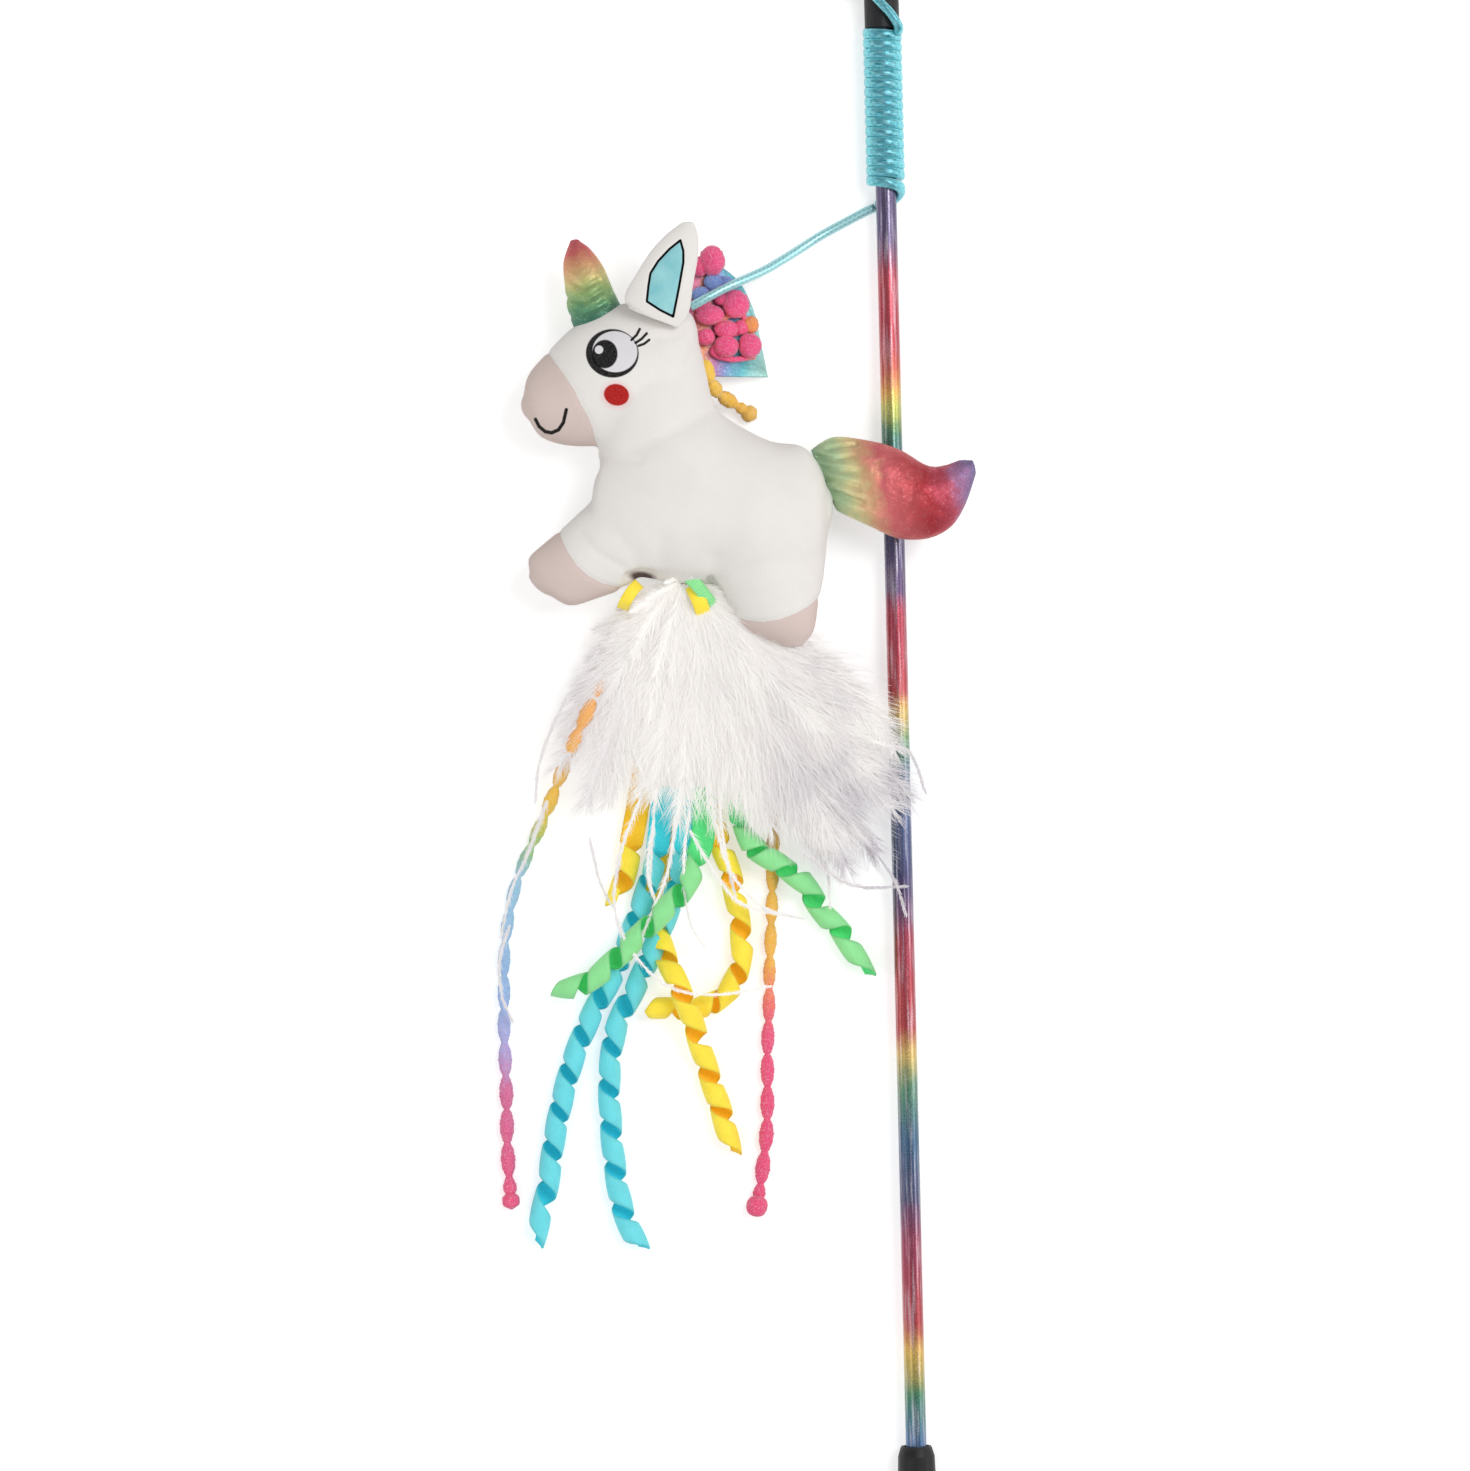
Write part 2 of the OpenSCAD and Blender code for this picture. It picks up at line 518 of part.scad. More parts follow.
// Tail: stuffed foil fabric that lies over the rod
tail_z = max(toy_mid, film_r + gap + tail_t / 2 + gap);
module tail() {
    z = [for (i = [0 : len(TAIL_SHARES) - 1]) i == 0 ? toy_mid : i == 1 ? (toy_mid + tail_z) / 2 : tail_z];
    color("#c4566a") toy_place() stuffed(thick_rows(TAIL_SHARES, TAIL_T_SHARES, tail_t, z), false, true);
}

module on_flap() {
    translate([flap_x_share * toy_l, 0, toy_mid - flap_drop]) rotate([0, flap_tilt, 0])
        translate([-flap_x_share * toy_l, 0, 0]) children();
}

module mane_flap() {
    color("#7fb0b8") toy_place() difference() {
        on_flap() linear_extrude(flap_t) polygon(toy_points(FLAP_SHARES));
        skull_form();
        neck_form();
    }
}

// Bobble yarn along points: bare thread first, then the radius swells and draws in once for each bobble
module yarn(rows, bobbles, d, bare = 0) {
    n = bobbles * 4;
    p = [for (i = [0 : n]) along(rows, i / n * (len(rows) - 1))];
    waist = d / 2 * yarn_waist_share;
    r = [for (i = [0 : n]) i % 4 == 0 || i < bare * 4 ? waist : i % 4 == 2 ? d / 2 : d * 0.4];
    tube(p, r, cord_sides, [0, 0, 1]);
}

function flap_yarn(shares) = [for (q = shares) [q[0] * toy_l, q[1] * toy_h, flap_t + mane_bobble_d / 2]];

module mane_bobbles() {
    color("#e0678f") toy_place() on_flap() {
        yarn(flap_yarn(MANE_TOP_SHARES), 2, mane_bobble_d);
        yarn(flap_yarn(MANE_INNER_SHARES), 3, mane_bobble_d);
        yarn(flap_yarn(MANE_OUTER_SHARES), 4, mane_bobble_d);
    }
}

module mane_strand() {
    rows = [for (i = [0 : len(STRAND_SHARES) - 1])
            [STRAND_SHARES[i][0] * toy_l, STRAND_SHARES[i][1] * toy_h, floor_z + STRAND_Z_SHARES[i] * toy_t]];
    color("#f2c25a") toy_place() yarn(rows, 3, bobble_d);
}

module tab_place() {
    toy_place() translate([tab_x_share * toy_l, tab_y_share * toy_h, 0]) children();
}

// Folded tape in the belly seam, its round fold standing out where the streamers are stitched on
module streamer_tab() {
    color("#ececea") difference() {
        tab_place() translate([0, 0, floor_z + gap]) {
            cylinder(d = tab_w, h = toy_t / 2 - gap, $fn = round_fn);
            translate([-tab_w / 2, 0, 0]) cube([tab_w, tab_l, toy_t / 2 - gap]);
        }
        toy_place() torso_form();
    }
}

feather_lift = 1.3;
feather_z = floor_z + curl_d * 1.1 + feather_lift + feather_t / 2;
module feathers() {
    z = [for (r = FEATHER_SHARES) feather_z];
    color("#f4f2f0") toy_place() stuffed(thick_rows(FEATHER_SHARES, FEATHER_T_SHARES, feather_t, z), false, true);
}

// Ribbon: flat as far as row "flat", then curled, with the band lying on a round coil about its route
module ribbon(shares, flat) {
    rows = [for (q = shares) [q[0] * streamer_l, q[1] * streamer_l, floor_z + q[2] * curl_d]];
    n = len(rows) - 1;
    curled = [for (i = [flat : n]) rows[i]];
    curls = round(run(curled) / curl_pitch * 4) / 4;
    r = (curl_d - ribbon_t) / 2;
    step = 0.01;
    function turn(u) = 360 * curls * max(0, u - flat) / (n - flat);
    function grown(u) = let (x = min(1, turn(u) / 360 / curl_ramp_share)) x * x * (3 - 2 * x);
    function ahead(u) = unit(along(rows, min(u + step, n)) - along(rows, max(u - step, 0)));
    function side(u) = unit(cross(ahead(u), [0, 0, 1]));
    function up(u) = cross(side(u), ahead(u));
    function out(u) = side(u) * sin(turn(u)) - up(u) * cos(turn(u));
    function round_way(u) = side(u) * cos(turn(u)) + up(u) * sin(turn(u));
    function centre(u) = along(rows, min(max(u, 0), n)) + out(u) * r * grown(u);
    // Straight across a flat ribbon, and along the coil's axis where it is curled
    function band(u) =
        let (d = unit(centre(min(u + step, n)) - centre(max(u - step, 0))),
             w = unit(ahead(u) * grown(u) - round_way(u) * (1 - grown(u))), q = cross(w, d), c = centre(u),
             narrow = 1 - curl_start_share * 4 * grown(u) * (1 - grown(u)),
             a = w * ribbon_w / 2 / norm(q) * narrow, k = unit(q) * ribbon_t / 2)
        [c - a - k, c + a - k, c + a + k, c - a + k];
    places = concat([for (i = [0 : 2 * flat - 1]) i / 2],
                    [for (i = [0 : curls * curl_rings]) flat + i / (curls * curl_rings) * (n - flat)]);
    skin([for (u = places) band(u)], true);
}

module teal_ribbon_left() {
    color("#5ec8d6") tab_place() ribbon(TEAL_LEFT_SHARES, 3);
}

module teal_ribbon_right() {
    color("#5ec8d6") tab_place() ribbon(TEAL_RIGHT_SHARES, 3);
}

module green_ribbon_left() {
    color("#74d17c") tab_place() ribbon(GREEN_LEFT_SHARES, 3);
}

module green_ribbon_right() {
    color("#74d17c") tab_place() ribbon(GREEN_RIGHT_SHARES, 2);
}

module yellow_ribbon_short() {
    color("#f6d033") tab_place() ribbon(YELLOW_SHORT_SHARES, 3);
}

module yellow_ribbon_long() {
    color("#f6d033") tab_place() ribbon(YELLOW_LONG_SHARES, 6);
}

module yellow_ribbon_loop() {
    color("#f6d033") tab_place() ribbon(YELLOW_LOOP_SHARES, 3);
}

function long_yarn(shares) =
    [for (q = shares) [q[0] * streamer_l, q[1] * streamer_l, floor_z + max(q[2] * curl_d, bobble_d / 2 + gap)]];

module left_yarn() {
    rows = long_yarn(LEFT_YARN_SHARES);
    color("#8cb8e8") tab_place() yarn(rows, round(run(rows) / bobble_l), bobble_d, 2);
}

module right_yarn() {
    rows = long_yarn(RIGHT_YARN_SHARES);
    color("#f2a35a") tab_place() yarn(rows, round(run(rows) / bobble_l), bobble_d, 2);
}

rod();
rod_film();
handle_grip();
tip_sleeve();
cord_knot();
cord_tip_lead();
cord_winding();
cord_to_toy();
torso();
head();
muzzle();
front_leg();
front_hoof();
hind_leg();
hind_hoof();
horn();
ear();
tail();
mane_flap();
mane_bobbles();
mane_strand();
streamer_tab();
feathers();
teal_ribbon_left();
teal_ribbon_right();
green_ribbon_left();
green_ribbon_right();
yellow_ribbon_short();
yellow_ribbon_long();
yellow_ribbon_loop();
left_yarn();
right_yarn();
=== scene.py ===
"""Cat teaser wand: a rainbow rod with a wound cord, and a stuffed unicorn with its streamers."""

import logging
import math
from dataclasses import dataclass, field
from enum import Enum
from typing import Sequence

import bmesh
import bpy
import numpy as np
from mathutils import Matrix, Vector


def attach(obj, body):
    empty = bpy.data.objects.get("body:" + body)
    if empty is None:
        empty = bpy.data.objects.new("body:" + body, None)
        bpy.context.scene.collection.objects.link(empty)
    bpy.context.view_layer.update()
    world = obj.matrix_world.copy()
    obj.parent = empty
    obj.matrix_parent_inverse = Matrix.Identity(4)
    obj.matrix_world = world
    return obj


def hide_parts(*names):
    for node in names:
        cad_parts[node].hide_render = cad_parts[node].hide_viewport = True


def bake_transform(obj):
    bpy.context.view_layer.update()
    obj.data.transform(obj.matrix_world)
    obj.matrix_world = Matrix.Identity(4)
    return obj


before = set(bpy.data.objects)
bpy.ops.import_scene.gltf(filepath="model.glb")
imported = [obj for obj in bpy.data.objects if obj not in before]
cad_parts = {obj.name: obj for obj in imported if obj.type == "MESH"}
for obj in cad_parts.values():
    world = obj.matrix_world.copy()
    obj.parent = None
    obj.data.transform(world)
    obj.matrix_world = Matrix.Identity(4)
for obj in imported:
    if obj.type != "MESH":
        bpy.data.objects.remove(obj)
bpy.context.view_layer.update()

log = logging.getLogger("teaser_wand")

Piece = bpy.types.Object
Material = bpy.types.Material
Node = bpy.types.Node
Socket = bpy.types.NodeSocket
Array = np.ndarray
Color = tuple[float, float, float]
Place = tuple[float, float, float]
Rows = Sequence[Sequence[float]]
Points = Sequence[tuple[float, float]]
Stops = Sequence[tuple[float, ...]]
Folds = Sequence[tuple[Points, float, float]]

MM = 0.001
UP = np.array((0.0, 0.0, 1.0))
TABLE_Z = -6 * MM

# The toy's own corner at its muzzle and hooves, its turn against the wand, and its size
TOY_CORNER = np.array((-112.2 * MM, 342.1 * MM, 0.0))
TOY_TURN = math.radians(-1.4)
TOY_LENGTH = 94 * MM
TOY_HEIGHT = 103 * MM
TOY_THICKNESS = 32 * MM
TOY_MIDDLE_Z = TABLE_Z + TOY_THICKNESS / 2

# Where the streamers' tab is sewn in, from the toy's corner, and the width of a ribbon's curls
TAB = np.array((0.52 * TOY_LENGTH, 0.17 * TOY_HEIGHT, 0.0))
CURL = 6.6 * MM
STREAMER_REACH = 195 * MM

# The photograph's scale, and the point of it that lies on the rod's axis
PIXEL = 0.3 * MM
PIXEL_ORIGIN = (902.6, 882.0)
PIXEL_ORIGIN_Y = 269.2 * MM
PHOTO_TURN = math.radians(1.379)


def unit(v: Array) -> Array:
    """Scale a vector that isn't zero to length one."""
    return v / np.linalg.norm(v)


def along(rows: Array, u: float) -> Array:
    """Read a smooth curve through every row.

    Args:
        rows: One point or profile per row.
        u: Place on the curve, in rows from its start.

    Returns:
        The row at that place.
    """
    n = len(rows) - 1
    i = min(int(math.floor(u)), n - 1)
    t = u - i
    a, b, c, d = rows[max(i - 1, 0)], rows[i], rows[i + 1], rows[min(i + 2, n)]
    square, cube = 2 * a - 5 * b + 4 * c - d, 3 * b - a - 3 * c + d
    return (2 * b + (c - a) * t + square * t * t + cube * t ** 3) / 2


def walked(route: Array) -> Array:
    """Measure the way from a route's start to each of its points."""
    return np.concatenate([[0], np.cumsum(np.linalg.norm(np.diff(route, axis=0), axis=1))])


def even_route(rows: Rows, step: float) -> Array:
    """Walk a smooth curve in even steps.

    Args:
        rows: Points that the curve passes.
        step: Wanted distance between the new points.

    Returns:
        Points an even distance apart, with both ends kept.
    """
    table = np.array(rows, dtype=float)
    fine = np.array([along(table, i / 12) for i in range(12 * (len(table) - 1) + 1)])
    done = walked(fine)
    count = max(2, int(round(done[-1] / step)) + 1)
    wanted = np.linspace(0, done[-1], count)
    return np.stack([np.interp(wanted, done, fine[:, k]) for k in range(3)], axis=1)


def smooth_step(x: Array) -> Array:
    """Ease values from zero to one, clipped to that range."""
    x = np.clip(x, 0.0, 1.0)
    return x * x * (3 - 2 * x)


def toy_place(points: Array) -> Array:
    """Carry points from the toy's own corner to the wand's frame.

    Args:
        points: Points in the toy's own frame.

    Returns:
        The same points in the wand's frame.
    """
    c, s = math.cos(TOY_TURN), math.sin(TOY_TURN)
    turned = points @ np.array(((c, s, 0), (-s, c, 0), (0, 0, 1)))
    return turned + TOY_CORNER


def photo_place(x: float, y: float) -> Array:
    """Find where a point of the photograph lies in the wand's frame.

    Args:
        x: Pixels from the left edge.
        y: Pixels from the upper edge.

    Returns:
        Its place across and along the wand.
    """
    u, v = x - PIXEL_ORIGIN[0], PIXEL_ORIGIN[1] - y
    c, s = math.cos(PHOTO_TURN), math.sin(PHOTO_TURN)
    return np.array((PIXEL * (c * u + s * v), PIXEL * (-s * u + c * v) + PIXEL_ORIGIN_Y))


def photo_line(points: Points) -> Array:
    """Carry a line of the photograph's points to the wand's frame, one row per point."""
    return np.array([photo_place(x, y) for x, y in points])


def line_distance(places: Array, line: Array) -> Array:
    """Measure how far points lie from a broken line, seen from above.

    Args:
        places: Points, of which the first two values are read.
        line: Corners of the line.

    Returns:
        One distance per point.
    """
    best = np.full(len(places), np.inf)
    flat = places[:, :2]
    for a, b in zip(line[:-1], line[1:]):
        span = b - a
        t = np.clip(((flat - a) @ span) / max(span @ span, 1e-18), 0, 1)
        best = np.minimum(best, np.linalg.norm(flat - a - t[:, None] * span, axis=1))
    return best


def inside(places: Array, outline: Array) -> Array:
    """Tell which points lie inside a closed outline, seen from above.

    Args:
        places: Points, of which the first two values are read.
        outline: Corners of the outline.

    Returns:
        True for each point inside.
    """
    x, y = places[:, 0], places[:, 1]
    found = np.zeros(len(places), dtype=bool)
    for a, b in zip(outline, np.roll(outline, -1, axis=0)):
        if a[1] == b[1]:
            continue
        crosses = (a[1] > y) != (b[1] > y)
        found ^= crosses & (x < (b[0] - a[0]) * (y - a[1]) / (b[1] - a[1]) + a[0])
    return found


def signed_distance(places: Array, line: Array, area: Array) -> Array:
    """Measure how far points lie from a line, with more than zero inside an area."""
    reach = line_distance(places, line)
    return np.where(inside(places, area), reach, -reach)


def carried_sides(route: Array, first: Array) -> tuple[Array, Array]:
    """Carry a side vector along a route without twist.

    Args:
        route: Points of the route.
        first: Rough side at the start.

    Returns:
        Headings and sides, one of each per point.
    """
    ahead = np.gradient(route, axis=0)
    ahead /= np.linalg.norm(ahead, axis=1)[:, None]
    sides = np.empty_like(route)
    side = first
    for i, t in enumerate(ahead):
        side = unit(side - t * (side @ t))
        sides[i] = side
    return ahead, sides


def linear(red: int, green: int, blue: int) -> Color:
    """Turn a color as seen on a screen, from 0 to 255, into the shader's linear numbers."""
    shares = (c / 255 for c in (red, green, blue))
    return tuple(s / 12.92 if s <= 0.04045 else ((s + 0.055) / 1.055) ** 2.4 for s in shares)


class Bench:
    """Modelling steps that every sub-assembly shares."""

    @staticmethod
    def clear() -> None:
        """Leave edit mode and deselect everything."""
        if bpy.context.object and bpy.context.object.mode != "OBJECT":
            bpy.ops.object.mode_set(mode="OBJECT")
        bpy.ops.object.select_all(action="DESELECT")

    @staticmethod
    def take(obj: Piece) -> None:
        """Select one piece alone and make it active.

        Args:
            obj: The piece.
        """
        Bench.clear()
        obj.select_set(True)
        bpy.context.view_layer.objects.active = obj

    @staticmethod
    def read(items: bpy.types.bpy_prop_collection, name: str) -> Array:
        """Read three numbers of each of a mesh's items.

        Args:
            items: The items.
            name: What is read.

        Returns:
            One row per item.
        """
        flat = np.empty(len(items) * 3)
        items.foreach_get(name, flat)
        return flat.reshape(-1, 3)

    @staticmethod
    def points(obj: Piece) -> Array:
        """Read a piece's vertices, one row per vertex."""
        return Bench.read(obj.data.vertices, "co")

    @staticmethod
    def put(obj: Piece, places: Array) -> None:
        """Write a piece's vertices, one row per vertex."""
        obj.data.vertices.foreach_set("co", places.reshape(-1))
        obj.data.update()

    @staticmethod
    def normals(obj: Piece) -> Array:
        """Read a piece's vertex normals, one row per vertex."""
        return Bench.read(obj.data.vertex_normals, "vector")

    @staticmethod
    def modify(obj: Piece, kind: str, **settings: object) -> None:
        """Add a modifier and apply it.

        Args:
            obj: The piece.
            kind: Blender's name of the modifier's type.
            settings: Its settings.
        """
        Bench.take(obj)
        step = obj.modifiers.new(kind.title(), kind)
        for name, value in settings.items():
            setattr(step, name, value)
        bpy.ops.object.modifier_apply(modifier=step.name)

    @staticmethod
    def smooth(obj: Piece) -> Piece:
        """Shade a piece smoothly.

        Args:
            obj: The piece.

        Returns:
            The same piece.
        """
        Bench.take(obj)
        bpy.ops.object.shade_smooth()
        return obj

    @staticmethod
    def join(parts: Sequence[Piece], name: str) -> Piece:
        """Join two or more pieces into one.

        Args:
            parts: The pieces; the first one takes in the others.
            name: Name of the joined piece.

        Returns:
            The joined piece.
        """
        Bench.clear()
        for part in parts:
            part.select_set(True)
        bpy.context.view_layer.objects.active = parts[0]
        bpy.ops.object.join()
        parts[0].name = name
        return parts[0]

    @staticmethod
    def loft(name: str, rings: Array) -> Piece:
        """Extrude a circle ring by ring, and close both ends.

        Args:
            name: Name of the piece.
            rings: Rings with the same number of points each.

        Returns:
            The closed piece.
        """
        Bench.clear()
        sides = len(rings[0])
        bpy.ops.mesh.primitive_circle_add(vertices=sides, radius=MM, location=(0, 0, 0))
        obj = bpy.context.object
        obj.name = name
        Bench.put(obj, np.array(rings[0]))
        bpy.ops.object.mode_set(mode="EDIT")
        bpy.ops.mesh.select_all(action="SELECT")
        bpy.ops.mesh.edge_face_add()
        for ring in rings[1:]:
            bpy.ops.mesh.extrude_region_move()
            shape = bmesh.from_edit_mesh(obj.data)
            shape.verts.ensure_lookup_table()
            for vert, place in zip(shape.verts[-sides:], ring):
                vert.co = place
        bmesh.update_edit_mesh(obj.data)
        bpy.ops.mesh.select_all(action="SELECT")
        bpy.ops.mesh.normals_make_consistent(inside=False)
        bpy.ops.object.mode_set(mode="OBJECT")
        return obj

    @staticmethod
    def mesh(name: str, places: Array, faces: Rows, places_uv: Array | None = None) -> Piece:
        """Make a cord, sheet or soft strip from points and faces.

        Args:
            name: Name of the piece.
            places: One row per vertex.
            faces: Vertex numbers of each face.
            places_uv: One pair per vertex for the piece's own map, where it needs one.

        Returns:
            The piece.
        """
        data = bpy.data.meshes.new(name)
        data.from_pydata(np.asarray(places).tolist(), [], faces)
        if places_uv is not None:
            layer = data.uv_layers.new(name="UVMap")
            corners = np.empty(len(data.loops), dtype=np.int32)
            data.loops.foreach_get("vertex_index", corners)
            layer.data.foreach_set("uv", np.asarray(places_uv)[corners].reshape(-1))
        data.validate()
        data.update()
        obj = bpy.data.objects.new(name, data)
        bpy.context.scene.collection.objects.link(obj)
        return Bench.smooth(obj)

    @staticmethod
    def note(obj: Piece, name: str, values: Array) -> None:
        """Keep one value per vertex, under a name, for a material to read."""
        kept = obj.data.attributes.new(name, "FLOAT", "POINT")
        kept.data.foreach_set("value", np.asarray(values, dtype=np.float32))

    @staticmethod
    def rest(obj: Piece) -> None:
        """Flatten what would sink into the table."""
        Bench.put(obj, np.maximum(Bench.points(obj), (-np.inf, -np.inf, TABLE_Z)))

    @staticmethod
    def hand_over(obj: Piece, finish: Material, slot: str, *nodes: str, body: str = "") -> None:
        """Give a new piece its finish, the solids that it stands for, and its body.

        Args:
            obj: The piece.
            finish: Its material.
            slot: Not used.
            nodes: Solids that it stands for.
            body: Body that it rides on, where it doesn't bend between two.
        """
        obj.data.materials.append(finish)
        Bench.smooth(obj)
        if body:
            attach(obj, body)
        if nodes:
            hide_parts(*nodes)

    @staticmethod
    def wear(name: str, finish: Material) -> None:
        """Give an exact solid its finish."""
        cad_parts[name].data.materials.clear()
        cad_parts[name].data.materials.append(finish)

    @staticmethod
    def press(obj: Piece, line: Array, depth: float, width: float, top_only: bool = False) -> None:
        """Sink a groove into a soft piece along a line.

        Args:
            obj: The piece.
            line: Corners of the line, seen from above.
            depth: Depth of the groove.
            width: Distance over which it fades.
            top_only: Whether the underside stays as it is.
        """
        places, out = Bench.points(obj), Bench.normals(obj)
        sink = depth * np.exp(-(line_distance(places, line) / width) ** 2)
        if top_only:
            sink *= smooth_step(out[:, 2] + 0.2)
        Bench.put(obj, places - out * sink[:, None])


def strips(count: int, wide: int, closed: bool = False) -> list[tuple[int, int, int, int]]:
    """List the faces between rows of so many points each, where a closed row is a ring."""
    return [(i * wide + j, i * wide + (j + 1) % wide, (i + 1) * wide + (j + 1) % wide, (i + 1) * wide + j)
            for i in range(count - 1) for j in range(wide if closed else wide - 1)]


def own_map(done: Array, across: Array) -> Array:
    """Give a grid's points their places on its own map: the way run, and the place across."""
    return np.stack([np.repeat(done / done[-1], len(across)), np.tile(across, len(done))], axis=1)


def tube(name: str, route: Array, radii: Array, sides: int, first: Array) -> Piece:
    """Make a closed round tube along a route, with its length in its own map.

    Args:
        name: Name of the piece.
        route: Points of the route.
        radii: One radius per point.
        sides: Sides of the tube.
        first: Rough side at the start.

    Returns:
        The piece.
    """
    ahead, side = carried_sides(route, first)
    cross = np.cross(ahead, side)
    turn = np.linspace(0, 2 * math.pi, sides, endpoint=False)
    ring = side[:, None] * np.cos(turn)[None, :, None] + cross[:, None] * np.sin(turn)[None, :, None]
    places = (route[:, None, :] + ring * np.asarray(radii)[:, None, None]).reshape(-1, 3)
    count = len(route)
    faces = strips(count, sides, closed=True)
    faces.append(tuple(range(sides))[::-1])
    faces.append(tuple((count - 1) * sides + j for j in range(sides)))
    return Bench.mesh(name, places, faces, own_map(walked(route), np.abs(turn / math.pi - 1)))


class Effect(Enum):
    """Shared groups, by their names."""

    NAP = "plush_nap"
    OVAL = "printed_oval"
    STROKE = "printed_stroke"
    CRINKLE = "foil_crinkle"
    SCUFF = "moulded_scuff"


class Mix:
    """A node material, or a shared group, while its nodes are being set."""

    def __init__(self, tree: bpy.types.NodeTree) -> None:
        """Start on the tree that takes the nodes."""
        self.tree = tree

    def node(self, kind: str, fed: Sequence[object] | dict = (), **settings: object) -> Node:
        """Add a node.

        Args:
            kind: Its type, without the leading ShaderNode.
            fed: Values or sockets for its inputs, in order or by name.
            settings: Its properties.

        Returns:
            The node.
        """
        made = self.tree.nodes.new("ShaderNode" + kind)
        for name, value in settings.items():
            setattr(made, name, value)
        for key, value in fed.items() if isinstance(fed, dict) else enumerate(fed):
            self.feed(made.inputs[key], value)
        return made

    def feed(self, socket: Socket, value: object) -> None:
        """Set a socket to a value, or link another socket to it.

        Args:
            socket: The socket to feed.
            value: A number, a color, a vector or a socket.
        """
        if isinstance(value, Socket):
            self.tree.links.new(value, socket)
        elif isinstance(value, (tuple, list)) and len(value) == 3 and socket.type == "RGBA":
            socket.default_value = (*value, 1.0)
        else:
            socket.default_value = value

    def sum(self, work: str, a: object, b: object = 0.0, c: object = 0.0) -> Socket:
        """Work out one number from up to three, by Blender's name of the operation."""
        return self.node("Math", (a, b, c), operation=work).outputs[0]

    def vector(self, work: str, a: object, b: object = (0.0, 0.0, 0.0)) -> Node:
        """Work on two vectors; the node's outputs hold the vector and the number."""
        return self.node("VectorMath", (a, b), operation=work)

    def blend(self, share: object, a: object, b: object, way: str = "MIX") -> Socket:
        """Mix two colors by the second one's share, in one of Blender's ways."""
        return self.node("Mix", {0: share, 6: a, 7: b}, data_type="RGBA", blend_type=way).outputs[2]

    def ramp(self, value: object, stops: Stops, smooth: bool = False) -> Socket:
        """Turn a number into a color.

        Args:
            value: The number.
            stops: Places from zero to one, each with a color as seen on a screen.
            smooth: Whether the colors ease into each other.

        Returns:
            The color's socket.
        """
        made = self.node("ValToRGB")
        band = made.color_ramp
        band.interpolation = "EASE" if smooth else "LINEAR"
        while len(band.elements) < len(stops):
            band.elements.new(1.0)
        for element, stop in zip(band.elements, sorted(stops)):
            element.position = stop[0]
        for element, stop in zip(band.elements, sorted(stops)):
            element.color = (*linear(*stop[1:]), 1.0)
        self.feed(made.inputs[0], value)
        return made.outputs[0]

    def range(self, value: object, low: object, high: object, to_low: float = 0.0,
              to_high: float = 1.0) -> Socket:
        """Carry a number from one range to another, with its ends clipped."""
        return self.node("MapRange", (value, low, high, to_low, to_high)).outputs[0]

    def noise(self, place: object, scale: float, detail: float = 2.0, rough: float = 0.5) -> Socket:
        """Add noise: so many clouds per metre, layers of finer clouds, and how strong these are."""
        fed = {"Vector": place, "Scale": scale, "Detail": detail, "Roughness": rough}
        return self.node("TexNoise", fed).outputs["Fac"]

    def cells(self, place: object, scale: float) -> Node:
        """Add small cells with a random color each, so many per metre."""
        return self.node("TexVoronoi", {"Vector": place, "Scale": scale})

    def drift(self, place: object, scale: float, low: float, high: float) -> Socket:
        """Let a number drift between two values with cloudy noise of so many clouds per metre."""
        return self.range(self.noise(place, scale), 0.3, 0.7, low, high)

    def mapping(self, place: object, scale: Sequence[float], shift: Sequence[float] = (0, 0, 0),
                turn: Sequence[float] = (0, 0, 0)) -> Socket:
        """Scale, turn and shift coordinates."""
        fed = {"Vector": place, "Location": shift, "Rotation": turn, "Scale": scale}
        return self.node("Mapping", fed).outputs[0]

    def bump(self, height: object, strength: float, distance: float, under: object = None) -> Socket:
        """Turn a height into a normal, laid over another normal where there is one."""
        fed = {"Height": height, "Strength": strength, "Distance": distance}
        return self.node("Bump", fed if under is None else fed | {"Normal": under}).outputs[0]

    def axis(self, place: object, name: str) -> Socket:
        """Read one coordinate of a place, by its letter."""
        return self.node("SeparateXYZ", (place,)).outputs[name]

    def own(self, name: str) -> Socket:
        """Read a value that the piece keeps per vertex under this name."""
        return self.node("Attribute", attribute_name=name).outputs["Fac"]

    def use(self, effect: Effect, **fed: object) -> Node:
        """Add a shared group, with values or sockets for its inputs."""
        return self.node("Group", fed, node_tree=bpy.data.node_groups[effect.value])


class Paint(Mix):
    """A material with its surface shader."""

    def __init__(self, name: str, roughness: float = 0.5, metallic: float = 0.0,
                 **constants: object) -> None:
        """Make the material.

        Args:
            name: Name of the material.
            roughness: Roughness, where nothing is linked to it.
            metallic: Metal share, where nothing is linked to it.
            constants: Other shader inputs, by name with underscores for blanks.
        """
        self.material = bpy.data.materials.new(name)
        self.material.use_nodes = True
        super().__init__(self.material.node_tree)
        self.shader = self.tree.nodes["Principled BSDF"]
        self.wear(Roughness=roughness, Metallic=metallic, **constants)
        spot = self.node("TexCoord")
        self.place = spot.outputs["Object"]
        self.map = spot.outputs["UV"]

    def wear(self, **fed: object) -> Material:
        """Feed shader inputs, by name with underscores for blanks, and hand the material over."""
        for key, value in fed.items():
            self.feed(self.shader.inputs[key.replace("_", " ")], value)
        return self.material


